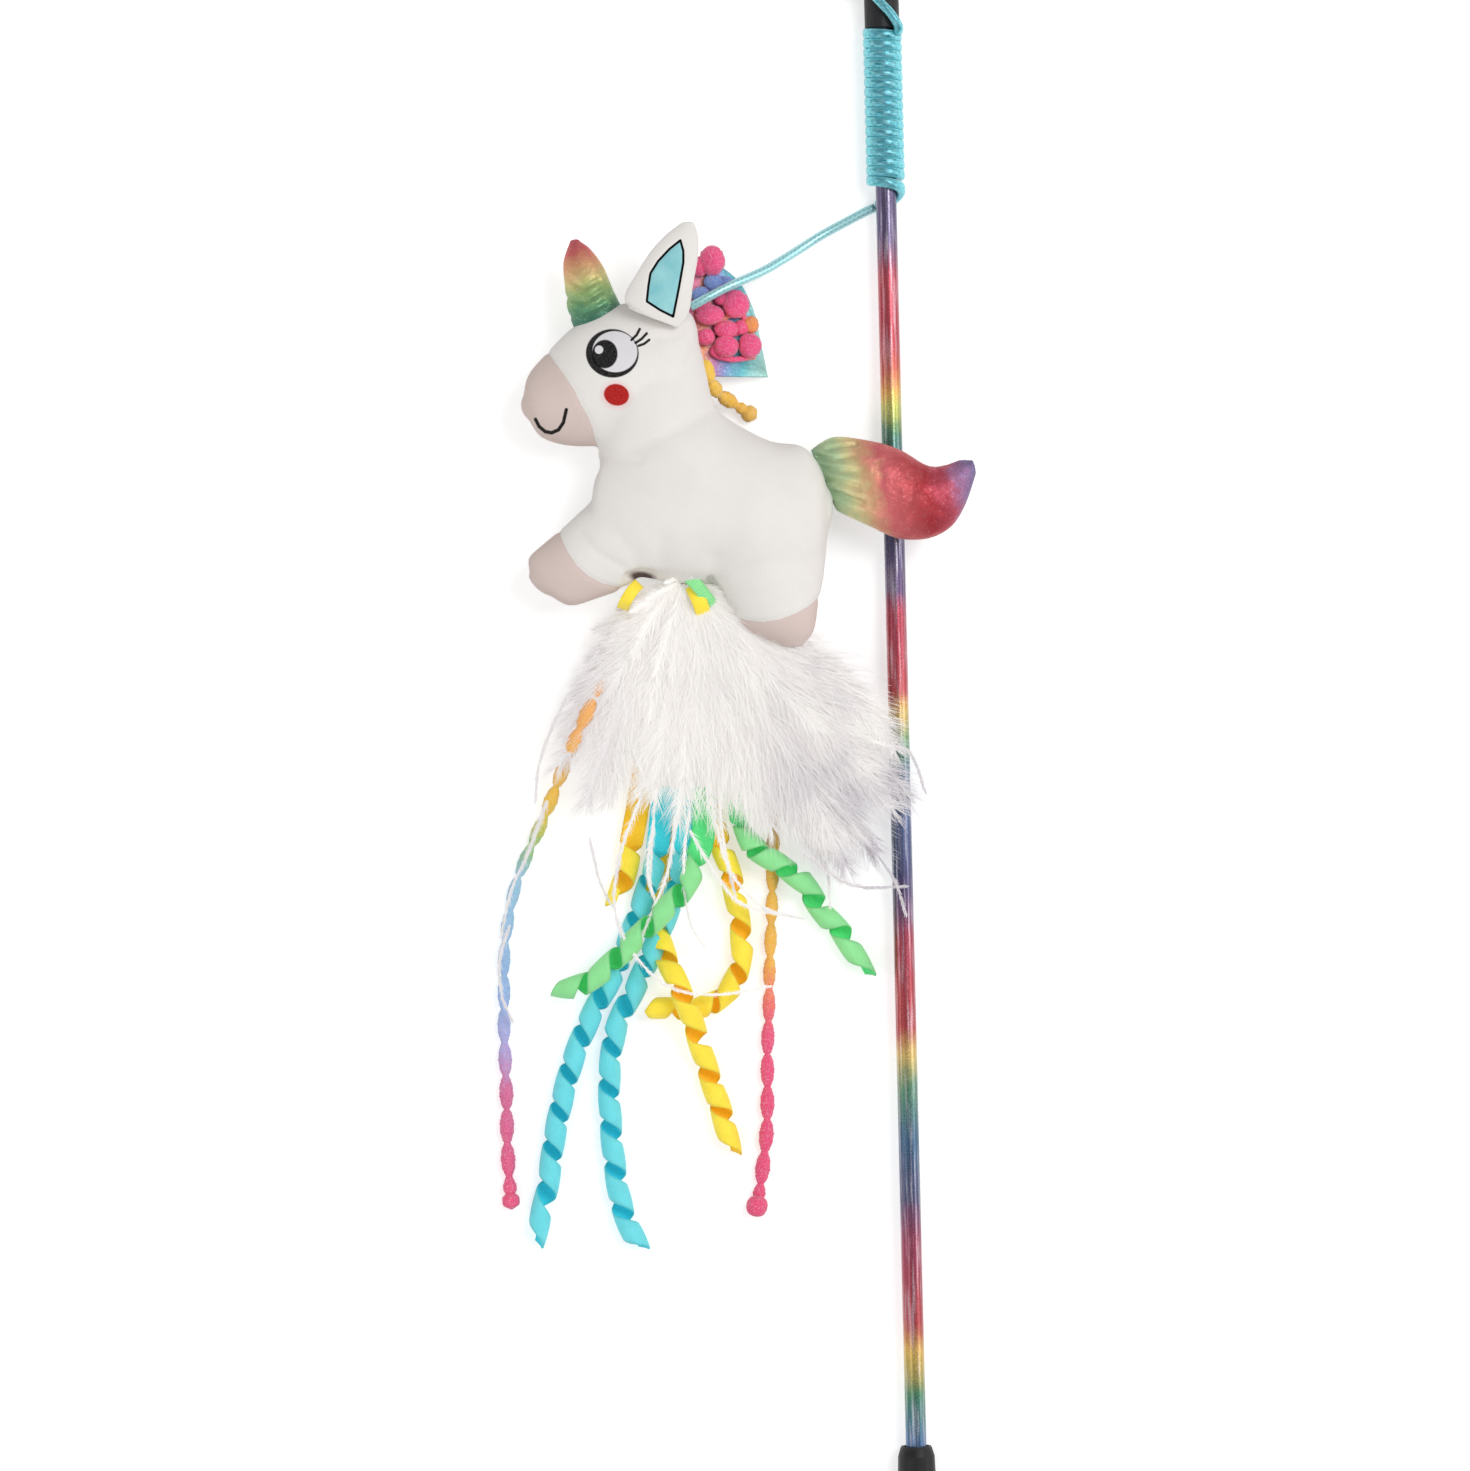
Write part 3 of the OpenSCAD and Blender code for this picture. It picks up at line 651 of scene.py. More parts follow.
class Group(Mix):
    """A shared node group with named inputs and outputs."""

    def __init__(self, effect: Effect, takes: dict[str, str], gives: dict[str, str]) -> None:
        """Make the group.

        Args:
            effect: Which group.
            takes: Inputs with their kinds: Float, Vector or Color.
            gives: Outputs with their kinds.
        """
        tree = bpy.data.node_groups.new(effect.value, "ShaderNodeTree")
        for key, kind in takes.items():
            tree.interface.new_socket(key, in_out="INPUT", socket_type="NodeSocket" + kind)
        for key, kind in gives.items():
            tree.interface.new_socket(key, in_out="OUTPUT", socket_type="NodeSocket" + kind)
        super().__init__(tree)
        self.takes = tree.nodes.new("NodeGroupInput").outputs
        self.gives = tree.nodes.new("NodeGroupOutput").inputs
        self.place = self.takes["Place"]

    def give(self, **fed: object) -> None:
        """Feed the group's outputs by name."""
        for name, value in fed.items():
            self.feed(self.gives[name], value)


class Effects:
    """Groups that several finishes share."""

    def __init__(self) -> None:
        """Make every group once."""
        for make in (self._nap, self._oval, self._stroke, self._crinkle, self._scuff):
            make()

    @staticmethod
    def _nap() -> None:
        """Short plush: fine hairs, soft clouds of shade, and a normal."""
        g = Group(Effect.NAP, {"Place": "Vector"}, {"Shade": "Float", "Normal": "Vector"})
        hairs = g.noise(g.place, 2600, 3, 0.65)
        tufts = g.noise(g.place, 520, 2)
        clouds = g.noise(g.place, 60, 2)
        tone = g.sum("ADD", g.range(hairs, 0.3, 0.7, -0.035, 0.02), g.range(clouds, 0.3, 0.7, -0.03, 0.02))
        g.give(Shade=g.sum("ADD", tone, 1.0))
        pile = g.sum("ADD", g.sum("MULTIPLY", hairs, 0.6), tufts)
        g.give(Normal=g.bump(pile, 0.3, 0.16 * MM, g.bump(clouds, 0.35, 0.6 * MM)))

    @staticmethod
    def _oval() -> None:
        """One inside an oval, zero outside it, with a soft rim."""
        g = Group(Effect.OVAL, {"Place": "Vector", "Middle": "Vector", "Halves": "Vector",
                                "Turn": "Float", "Rim": "Float"}, {"Mask": "Float"})
        moved = g.vector("SUBTRACT", g.place, g.takes["Middle"]).outputs[0]
        fed = {"Vector": moved, "Angle": g.takes["Turn"]}
        turned = g.node("VectorRotate", fed, rotation_type="Z_AXIS")
        flat = g.vector("MULTIPLY", turned.outputs[0], (1.0, 1.0, 0.0)).outputs[0]
        reach = g.vector("LENGTH", g.vector("DIVIDE", flat, g.takes["Halves"]).outputs[0]).outputs["Value"]
        low = g.sum("SUBTRACT", 1.0, g.takes["Rim"])
        g.give(Mask=g.range(reach, low, g.sum("ADD", 1.0, g.takes["Rim"]), 1.0, 0.0))

    @staticmethod
    def _stroke() -> None:
        """One within half a width of the straight line between two points."""
        g = Group(Effect.STROKE, {"Place": "Vector", "Start": "Vector", "End": "Vector", "Half": "Float"},
                  {"Mask": "Float"})
        place = g.vector("MULTIPLY", g.place, (1.0, 1.0, 0.0)).outputs[0]
        span = g.vector("SUBTRACT", g.takes["End"], g.takes["Start"]).outputs[0]
        arm = g.vector("SUBTRACT", place, g.takes["Start"]).outputs[0]
        dot = g.vector("DOT_PRODUCT", arm, span).outputs["Value"]
        whole = g.vector("DOT_PRODUCT", span, span).outputs["Value"]
        share = g.node("Clamp", (g.sum("DIVIDE", dot, whole),)).outputs[0]
        part = g.node("VectorMath", {0: span, "Scale": share}, operation="SCALE")
        off = g.vector("LENGTH", g.vector("SUBTRACT", arm, part.outputs[0]).outputs[0]).outputs["Value"]
        over = g.sum("SUBTRACT", off, g.takes["Half"])
        g.give(Mask=g.range(over, -0.35, 0.35, 1.0, 0.0))

    @staticmethod
    def _crinkle() -> None:
        """Metallic fabric: fine weave, a random value per cell for painted glints and roughness, and soft
        creases.
        """
        g = Group(Effect.CRINKLE, {"Place": "Vector"},
                  {"Glint": "Float", "Crease": "Float", "Normal": "Vector"})
        cell = g.cells(g.place, 2600)
        weave = g.noise(g.place, 3800, 1)
        creases = g.noise(g.place, 170, 3, 0.6)
        g.give(Glint=g.range(cell.outputs["Color"], 0.1, 0.95))
        g.give(Crease=creases)
        soft = g.bump(creases, 0.7, 0.9 * MM)
        g.give(Normal=g.bump(weave, 0.35, 0.12 * MM, soft))

    @staticmethod
    def _scuff() -> None:
        """Moulded plastic: roughness with faint scuffs, and a very fine grain."""
        g = Group(Effect.SCUFF, {"Place": "Vector"},
                  {"Roughness": "Float", "Edge": "Float", "Normal": "Vector"})
        grain = g.noise(g.place, 4200, 2)
        smears = g.noise(g.mapping(g.place, (900, 90, 900)), 1.0, 3, 0.7)
        g.give(Roughness=g.range(smears, 0.35, 0.7, 0.42, 0.62))
        edge = g.node("NewGeometry").outputs["Pointiness"]
        g.give(Edge=g.range(edge, 0.52, 0.6))
        g.give(Normal=g.bump(grain, 0.12, 0.05 * MM))


@dataclass(frozen=True)
class FilmFinish:
    """Rainbow metallic film round the rod, with its colors in rows of the photograph."""

    stops: Stops = (
        (130, 84, 76, 108), (235, 88, 76, 110), (262, 128, 66, 90), (278, 172, 66, 78),
        (345, 168, 62, 74), (372, 186, 92, 76), (392, 206, 158, 80), (408, 176, 176, 84),
        (432, 66, 120, 92), (470, 58, 92, 122), (545, 70, 66, 100), (590, 90, 66, 104),
        (612, 160, 58, 78), (690, 172, 66, 72), (712, 206, 172, 100), (740, 92, 142, 96),
        (780, 70, 100, 136), (880, 74, 72, 108), (915, 104, 66, 100), (940, 156, 56, 74),
        (1030, 168, 64, 66), (1052, 204, 176, 104), (1085, 82, 130, 100), (1140, 62, 96, 126),
        (1200, 72, 70, 104), (1240, 146, 58, 84), (1325, 166, 62, 66), (1352, 206, 168, 84),
        (1395, 70, 128, 92), (1440, 58, 100, 140), (1500, 66, 66, 118))

    def material(self) -> Material:
        """Make the material.

        Returns:
            The material.
        """
        p = Paint("rainbow_film", roughness=0.3, metallic=0.7, Coat_Weight=0.5, Coat_Roughness=0.16)
        wavy = p.sum("ADD", p.axis(p.place, "Y"), p.drift(p.place, 130, -0.0016, 0.0016))
        low = photo_place(*PIXEL_ORIGIN)[1] - (self.stops[-1][0] - PIXEL_ORIGIN[1]) * PIXEL
        high = photo_place(*PIXEL_ORIGIN)[1] - (self.stops[0][0] - PIXEL_ORIGIN[1]) * PIXEL
        span = self.stops[-1][0] - self.stops[0][0]
        bands = [((self.stops[-1][0] - row) / span, *color) for row, *color in self.stops]
        base = p.ramp(p.range(wavy, float(low), float(high)), bands)
        flake = p.cells(p.place, 3400)
        # painted glint: random flakes turn paler
        painted_flake_glint = p.range(flake.outputs["Color"], 0.55, 1.0, 0.0, 0.55)
        seam = p.noise(p.mapping(p.place, (1400, 60, 1400)), 1.0, 2)
        worn = p.blend(p.range(seam, 0.5, 0.72, 0.0, 0.42), base, linear(226, 218, 228))
        color = p.blend(painted_flake_glint, worn, linear(226, 214, 226), "SOFT_LIGHT")
        rough = p.range(flake.outputs["Color"], 0.2, 0.9, 0.22, 0.42)
        normal = p.bump(flake.outputs["Distance"], 0.18, 0.05 * MM, p.bump(seam, 0.2, 0.1 * MM))
        return p.wear(Base_Color=color, Roughness=rough, Normal=normal)


@dataclass(frozen=True)
class TubeFinish:
    """Clear lilac plastic of the tube under the film."""

    color: Color = linear(196, 190, 214)

    def material(self) -> Material:
        """Make the material.

        Returns:
            The material.
        """
        p = Paint("tube_plastic")
        scuff = p.use(Effect.SCUFF, Place=p.place)
        shade = p.drift(p.place, 300, 0.9, 1.0)
        color = p.blend(shade, linear(170, 164, 190), self.color)
        return p.wear(Base_Color=color, Roughness=scuff.outputs["Roughness"],
                      Normal=scuff.outputs["Normal"])


@dataclass(frozen=True)
class MouldedFinish:
    """Black moulded plastic of handle and sleeve."""

    color: Color = linear(20, 20, 22)
    worn: Color = linear(62, 62, 68)

    def material(self) -> Material:
        """Make the material.

        Returns:
            The material.
        """
        p = Paint("black_moulded_plastic", Specular_IOR_Level=0.35)
        scuff = p.use(Effect.SCUFF, Place=p.place)
        dust = p.range(p.noise(p.place, 900, 3, 0.7), 0.6, 0.8, 0.0, 0.18)
        share = p.sum("ADD", p.sum("MULTIPLY", scuff.outputs["Edge"], 0.4), dust)
        color = p.blend(share, self.color, self.worn)
        return p.wear(Base_Color=color, Roughness=scuff.outputs["Roughness"],
                      Normal=scuff.outputs["Normal"])


@dataclass(frozen=True)
class SatinCordFinish:
    """Teal satin cord, braided from shiny strands, with painted shade in the braid's valleys and a painted
    reflection that makes it deeper where it faces the eye.
    """

    color: Color = linear(112, 214, 224)
    # painted shade colour for the braid's low valleys
    deep: Color = linear(52, 162, 180)
    # painted reflection: the deep teal where the cord faces the eye
    painted_reflection: Color = linear(8, 112, 134)
    painted_reflection_share: float = 0.0
    plaits_per_m: float = 640.0
    plaits_round: float = 2.0

    def material(self, name: str, length: float) -> Material:
        """Make the material for one cord.

        Args:
            name: Name of the material.
            length: Length of the cord that the piece's own map spans.

        Returns:
            The material.
        """
        p = Paint(name, metallic=0.5, Sheen_Weight=0.1, Sheen_Roughness=0.4, Specular_IOR_Level=0.5,
                  Coat_Weight=0.1, Coat_Roughness=0.25)
        run = p.sum("MULTIPLY", p.axis(p.map, "X"), 2 * math.pi * self.plaits_per_m * length)
        turn = p.sum("MULTIPLY", p.axis(p.map, "Y"), 2 * math.pi * self.plaits_round)
        one = p.sum("SINE", p.sum("ADD", run, turn))
        other = p.sum("SINE", p.sum("SUBTRACT", run, turn))
        plait = p.range(p.sum("MAXIMUM", one, other), -0.6, 1.0)
        strands = p.noise(p.mapping(p.map, (length * 500, 14, 1)), 1.0, 2)
        # painted shade: the braid's low valleys take the deeper colour
        tone = p.blend(p.range(plait, 0.0, 1.0, 0.35, 1.0), self.deep, self.color)
        facing = p.node("LayerWeight").outputs["Facing"]
        # painted reflection: the colour turns deeper where the surface faces the eye
        tone = p.blend(p.range(facing, 0.04, 0.4, self.painted_reflection_share, 0.0), tone, self.painted_reflection)
        color = p.blend(p.range(strands, 0.35, 0.7, 0.0, 0.45), tone, linear(176, 232, 238))
        rough = p.range(strands, 0.3, 0.7, 0.26, 0.42)
        height = p.sum("ADD", plait, p.sum("MULTIPLY", strands, 0.4))
        return p.wear(Base_Color=color, Roughness=rough, Normal=p.bump(height, 0.2, 0.1 * MM))


@dataclass(frozen=True)
class PlushFinish:
    """Short white plush with dusty pink on muzzle and hooves, and the face printed on it."""

    white: Color = linear(236, 232, 228)
    pink: Color = linear(217, 199, 192)
    ink: Color = linear(8, 7, 9)
    cheek: Color = linear(176, 14, 12)
    eye_white: Color = linear(228, 225, 228)
    halo: Color = linear(236, 214, 212)
    # painted shade: dark brown for the shadowed gap between the front leg and the belly
    painted_gap_shade: Color = linear(86, 68, 64)
    print_turn: float = math.radians(1.379)
    print_scale: float = 3350.2
    print_shift: Place = (923.85, -1782.84, 0.0)

    def _oval(self, p: Paint, place: object, middle: tuple[float, float],
              halves: tuple[float, float], turn: float, rim: float) -> Socket:
        """Print an oval, given in pixels of the photograph, its turn in degrees and its soft rim."""
        return p.use(Effect.OVAL, Place=place, Middle=(middle[0], -middle[1], 0.0),
                     Halves=(*halves, 1.0), Turn=math.radians(turn), Rim=rim).outputs["Mask"]

    def _strokes(self, p: Paint, place: object, half: float, points: Points) -> Socket:
        """Print a thin bent line.

        Args:
            p: The material being made.
            place: Coordinates in pixels of the photograph.
            half: Half its width.
            points: Its corners.

        Returns:
            The mask's socket.
        """
        mask = None
        for a, b in zip(points[:-1], points[1:]):
            one = p.use(Effect.STROKE, Place=place, Start=(a[0], -a[1], 0.0), End=(b[0], -b[1], 0.0),
                        Half=half).outputs["Mask"]
            mask = one if mask is None else p.sum("MAXIMUM", mask, one)
        return mask

    def body(self) -> Material:
        """Make the material of the stuffed body.

        Returns:
            The material.
        """
        p = Paint("white_and_pink_plush", roughness=0.92, Sheen_Weight=0.07, Sheen_Roughness=0.5,
                  Specular_IOR_Level=0.08)
        nap = p.use(Effect.NAP, Place=p.place)
        edge = p.sum("ADD", p.own("pink_side"), p.drift(p.place, 1500, -0.0001, 0.0001))
        color = p.blend(p.range(edge, -0.00012, 0.00012), self.white, self.pink)
        px = p.mapping(p.place, (self.print_scale,) * 3, self.print_shift, (0.0, 0.0, self.print_turn))
        grain = p.drift(p.place, 2400, 0.95, 1.0)
        layers = (
            # painted shade in the gap between the front leg and the belly
            (self._oval(p, px, (641, 575.5), (12.5, 5.2), 8, 0.3), self.painted_gap_shade),
            (self._oval(p, px, (616, 396), (15.5, 14), 12, 0.18), self.halo),
            (self._oval(p, px, (616, 395.5), (12.6, 10.6), 12, 0.05), self.cheek),
            (self._oval(p, px, (611.8, 354.2), (26.4, 24.4), 10, 0.02), self.ink),
            (self._oval(p, px, (614.4, 352.6), (22.4, 20.6), 10, 0.02), self.eye_white),
            (self._oval(p, px, (604.3, 355), (12.8, 14.4), 0, 0.04), self.ink),
            (self._oval(p, px, (598.6, 350.6), (4.2, 4.2), 0, 0.08), self.eye_white),
            (self._strokes(p, px, 1.35, ((631, 341), (636, 336), (639, 330))), self.ink),
            (self._strokes(p, px, 1.35, ((635, 344), (641, 340), (646, 334.5))), self.ink),
            (self._strokes(p, px, 1.3, ((638, 347), (643.5, 345), (648.5, 341))), self.ink),
            (self._strokes(p, px, 1.75, (
                (535, 419), (538.5, 426), (544.5, 431), (551, 432.3), (558, 429.5), (563, 422.5),
                (566, 410))), self.ink))
        for mask, paint in layers:
            color = p.blend(p.sum("MULTIPLY", mask, grain), color, paint)
        color = p.blend(1.0, color, nap.outputs["Shade"], "MULTIPLY")
        return p.wear(Base_Color=color, Normal=nap.outputs["Normal"])

    def ear(self) -> Material:
        """Make the material of the ear, with its teal lining printed on the upper side.

        Returns:
            The material.
        """
        p = Paint("white_plush_with_lining", roughness=0.92, Sheen_Weight=0.07, Sheen_Roughness=0.5,
                  Specular_IOR_Level=0.08)
        nap = p.use(Effect.NAP, Place=p.place)
        lining = p.own("lining_side")
        rim = p.range(p.sum("ABSOLUTE", lining), 0.0003, 0.00042, 1.0, 0.0)
        cloud = p.range(p.noise(p.place, 160), 0.35, 0.7)
        teal = p.blend(cloud, linear(160, 216, 220), linear(132, 198, 206))
        color = p.blend(p.range(lining, -0.0001, 0.0001), self.white, teal)
        color = p.blend(rim, color, self.ink)
        color = p.blend(1.0, color, nap.outputs["Shade"], "MULTIPLY")
        return p.wear(Base_Color=color, Normal=nap.outputs["Normal"])

    def plain(self) -> Material:
        """Make the material of plain white tape and plush.

        Returns:
            The material.
        """
        p = Paint("plain_white_tape", roughness=0.9, Sheen_Weight=0.2)
        nap = p.use(Effect.NAP, Place=p.place)
        color = p.blend(1.0, self.white, nap.outputs["Shade"], "MULTIPLY")
        return p.wear(Base_Color=color, Normal=nap.outputs["Normal"])


@dataclass(frozen=True)
class FoilFinish:
    """Metallic fabric that runs through its colors along the piece, with painted highlights on its creases
    and painted glints in specks.
    """

    name: str
    stops: Stops
    # painted highlight colour for the creases and the glinting specks
    painted_highlight: Color = linear(236, 236, 232)
    painted_crease_highlight: float = 0.35
    painted_glint_share: float = 0.28

    def material(self) -> Material:
        """Make the material, which reads the piece's own value from base to tip.

        Returns:
            The material.
        """
        p = Paint(self.name, roughness=0.42, metallic=0.45, Sheen_Weight=0.15, Specular_IOR_Level=0.5)
        crinkle = p.use(Effect.CRINKLE, Place=p.place)
        drift = p.range(crinkle.outputs["Crease"], 0.3, 0.7, -0.05, 0.05)
        base = p.ramp(p.sum("ADD", p.own("foil_run"), drift), self.stops)
        # painted highlight: creases turn paler
        folds = p.range(crinkle.outputs["Crease"], 0.52, 0.68, 0.0, self.painted_crease_highlight)
        color = p.blend(folds, base, self.painted_highlight, "SOFT_LIGHT")
        # painted glints: random specks turn near white
        painted_glints = p.range(crinkle.outputs["Glint"], 0.8, 1.0, 0.0, self.painted_glint_share)
        color = p.blend(painted_glints, color, self.painted_highlight)
        rough = p.range(crinkle.outputs["Glint"], 0.0, 1.0, 0.56, 0.38)
        return p.wear(Base_Color=color, Roughness=rough, Normal=crinkle.outputs["Normal"])


@dataclass(frozen=True)
class RibbonFinish:
    """Ribbed ribbon, bright outside, with painted shade as a deeper tone on its inner faces inside the
    curls and darker rib grooves.

    A faint glow stands for the light that passes through the thin ribbon.
    """

    name: str
    outside: Color
    # painted shade: a separate deeper tone for the inner faces, inside the curls
    inside: Color
    glow: float = 0.1
    deep: Color = linear(170, 170, 170)
    ribs_per_m: float = 1700.0

    def material(self, length: float) -> Material:
        """Make the material for one ribbon.

        Args:
            length: Length that the piece's own map spans.

        Returns:
            The material.
        """
        p = Paint(self.name, roughness=0.55, Sheen_Weight=0.2, Specular_IOR_Level=0.4,
                  Emission_Strength=self.glow)
        ribs = p.sum("SINE", p.sum("MULTIPLY", p.axis(p.map, "X"), 2 * math.pi * self.ribs_per_m * length))
        rim = p.range(p.sum("ABSOLUTE", p.sum("SUBTRACT", p.axis(p.map, "Y"), 0.5)), 0.42, 0.48)
        cloud = p.noise(p.place, 260, 3)
        # painted shade: the inner faces take the deeper tone
        face = p.blend(p.range(p.own("inner_face"), 0.4, 0.6), self.outside, self.inside)
        toned = p.blend(p.range(cloud, 0.35, 0.7, 0.0, 0.12), face, self.deep, "MULTIPLY")
        color = p.blend(p.sum("MULTIPLY", rim, 0.2), toned, self.deep, "MULTIPLY")
        # painted shade: the rib grooves turn darker
        color = p.blend(p.range(ribs, -1.0, 0.2, 0.16, 0.0), color, self.deep, "MULTIPLY")
        rough = p.range(cloud, 0.3, 0.7, 0.45, 0.62)
        height = p.sum("ADD", ribs, p.sum("MULTIPLY", rim, 1.5))
        return p.wear(Base_Color=color, Emission_Color=color, Roughness=rough,
                      Normal=p.bump(height, 0.45, 0.09 * MM))


@dataclass(frozen=True)
class YarnFinish:
    """Fuzzy bobble yarn whose color runs along its length."""

    name: str
    stops: Stops

    def material(self, read: str = "map") -> Material:
        """Make the material.

        Args:
            read: "map" to run along the piece's own map, or "value" to read one value per vertex.

        Returns:
            The material.
        """
        p = Paint(self.name, roughness=0.85, Sheen_Weight=0.5, Sheen_Roughness=0.4, Specular_IOR_Level=0.2)
        run = p.axis(p.map, "X") if read == "map" else p.own("yarn_run")
        fuzz = p.noise(p.place, 1900, 3, 0.7)
        strands = p.noise(p.place, 600, 2)
        base = p.ramp(p.sum("ADD", run, p.range(strands, 0.3, 0.7, -0.012, 0.012)), self.stops)
        pale = p.blend(p.range(fuzz, 0.5, 0.75, 0.0, 0.4), base, linear(250, 240, 240))
        # painted shade: deeper colour in the low hollows of the fuzz
        color = p.blend(p.range(fuzz, 0.25, 0.45, 0.35, 0.0), pale, base, "MULTIPLY")
        height = p.sum("ADD", fuzz, strands)
        return p.wear(Base_Color=color, Normal=p.bump(height, 0.8, 0.3 * MM))


@dataclass(frozen=True)
class DownFinish:
    """Downy white feathers, with painted shade: a little lilac-grey towards the right and towards the left
    edge.

    A faint glow stands for the light that passes through the thin barbs.
    """

    glow: float = 0.09
    white: Color = linear(254, 251, 248)
    # painted shade colour
    lilac: Color = linear(202, 196, 205)

    def material(self, name: str) -> Material:
        """Make the material.

        Args:
            name: Name of the material.

        Returns:
            The material.
        """
        p = Paint(name, roughness=0.75, Sheen_Weight=0.8, Sheen_Roughness=0.8, Specular_IOR_Level=0.2,
                  Emission_Strength=self.glow)
        streak = p.noise(p.mapping(p.place, (900, 260, 500)), 1.0, 3, 0.6)
        cloud = p.noise(p.place, 45, 2)
        across = p.axis(p.place, "X")
        # painted shade: lilac-grey grows towards the right and towards the left edge
        right = p.range(across, -45 * MM, -12 * MM, 0.0, 0.8)
        left = p.range(across, -78 * MM, -96 * MM, 0.0, 0.4)
        right = p.sum("MULTIPLY", right, p.range(cloud, 0.3, 0.6))
        share = p.sum("ADD", p.sum("ADD", right, p.range(cloud, 0.5, 0.75, 0.0, 0.15)), left)
        tone = p.blend(share, self.white, self.lilac)
        color = p.blend(p.range(streak, 0.3, 0.5, 0.1, 0.0), tone, linear(222, 216, 210))
        return p.wear(Base_Color=color, Emission_Color=color, Normal=p.bump(streak, 0.5, 0.3 * MM))


@dataclass
class Studio:
    """Pale floor, soft light, and a camera straight above as in the photograph."""

    camera_height: float = 2.0
    lens: float = 163.27
    middle: tuple[float, float] = (-49.2 * MM, 314.35 * MM)
    floor_half: float = 3.0
    floor_glow: float = 0.45
    sky: float = 0.42
    # Each lamp's name, its place from the middle of the picture, its side in metres and its watts
    lamps: tuple[tuple[str, Place, float, float], ...] = (
        ("key", (0.8, 0.5, 1.5), 0.8, 12.0), ("fill", (-0.9, -0.9, 1.3), 1.2, 8.0),
        ("right_side", (1.7, 0.0, 0.75), 1.0, 7.0), ("left_side", (-1.7, 0.1, 0.7), 0.8, 3.0))

    def camera(self) -> None:
        """Set the camera at the photograph's angle."""
        data = bpy.data.cameras.new("camera")
        data.sensor_width = 36.0
        data.sensor_fit = "HORIZONTAL"
        data.lens = self.lens
        data.clip_end = 20.0
        eye = bpy.data.objects.new("camera", data)
        eye.location = (*self.middle, self.camera_height)
        eye.rotation_euler = (0.0, 0.0, -PHOTO_TURN)
        bpy.context.scene.collection.objects.link(eye)
        bpy.context.scene.camera = eye

    def floor(self) -> None:
        """Lay the floor, which looks white to the camera and keeps a soft shadow."""
        Bench.clear()
        bpy.ops.mesh.primitive_plane_add(size=2 * self.floor_half, location=(*self.middle, TABLE_Z))
        floor = bpy.context.object
        floor.name = "floor"
        p = Paint("pale_floor", roughness=0.9, Specular_IOR_Level=0.1)
        p.feed(p.shader.inputs["Base Color"], linear(236, 236, 236))
        rays = p.node("LightPath")
        seen = p.sum("MAXIMUM", rays.outputs["Is Camera Ray"], rays.outputs["Is Glossy Ray"])
        seen = p.sum("MAXIMUM", seen, rays.outputs["Is Transmission Ray"])
        p.feed(p.shader.inputs["Emission Color"], (1.0, 1.0, 1.0))
        p.feed(p.shader.inputs["Emission Strength"], p.sum("MULTIPLY", seen, self.floor_glow))
        floor.data.materials.append(p.material)

    def light(self) -> None:
        """Light the scene softly and plainly, with square lamps that point at the object."""
        world = bpy.data.worlds.new("studio")
        world.use_nodes = True
        sky = world.node_tree.nodes["Background"].inputs
        sky["Color"].default_value = (1.0, 1.0, 1.0, 1.0)
        sky["Strength"].default_value = self.sky
        bpy.context.scene.world = world
        for name, place, size, power in self.lamps:
            data = bpy.data.lights.new(name, "AREA")
            data.size = size
            data.energy = power
            lamp = bpy.data.objects.new(name, data)
            lamp.location = Vector((*self.middle, 0.0)) + Vector(place)
            lamp.rotation_euler = (-Vector(place)).to_track_quat("-Z", "Y").to_euler()
            bpy.context.scene.collection.objects.link(lamp)

    def build(self) -> None:
        """Set up the whole studio."""
        bpy.context.scene.view_settings.view_transform = "Standard"
        self.camera()
        self.floor()
        self.light()
        log.info("studio: camera %.2f m above the table", self.camera_height)


@dataclass
class Wand:
    """The rod with its film, handle and sleeve, which keep their exact solids and get their finishes."""

    film: FilmFinish = field(default_factory=FilmFinish)
    plastic: MouldedFinish = field(default_factory=MouldedFinish)
    tube: TubeFinish = field(default_factory=TubeFinish)

    def dress(self) -> None:
        """Give each solid its finish."""
        black = self.plastic.material()
        worn = {"rod_film": self.film.material(), "rod": self.tube.material(),
                "handle_grip": black, "tip_sleeve": black}
        for name, finish in worn.items():
            Bench.wear(name, finish)
            log.info("wand: %s wears %s", name, finish.name)


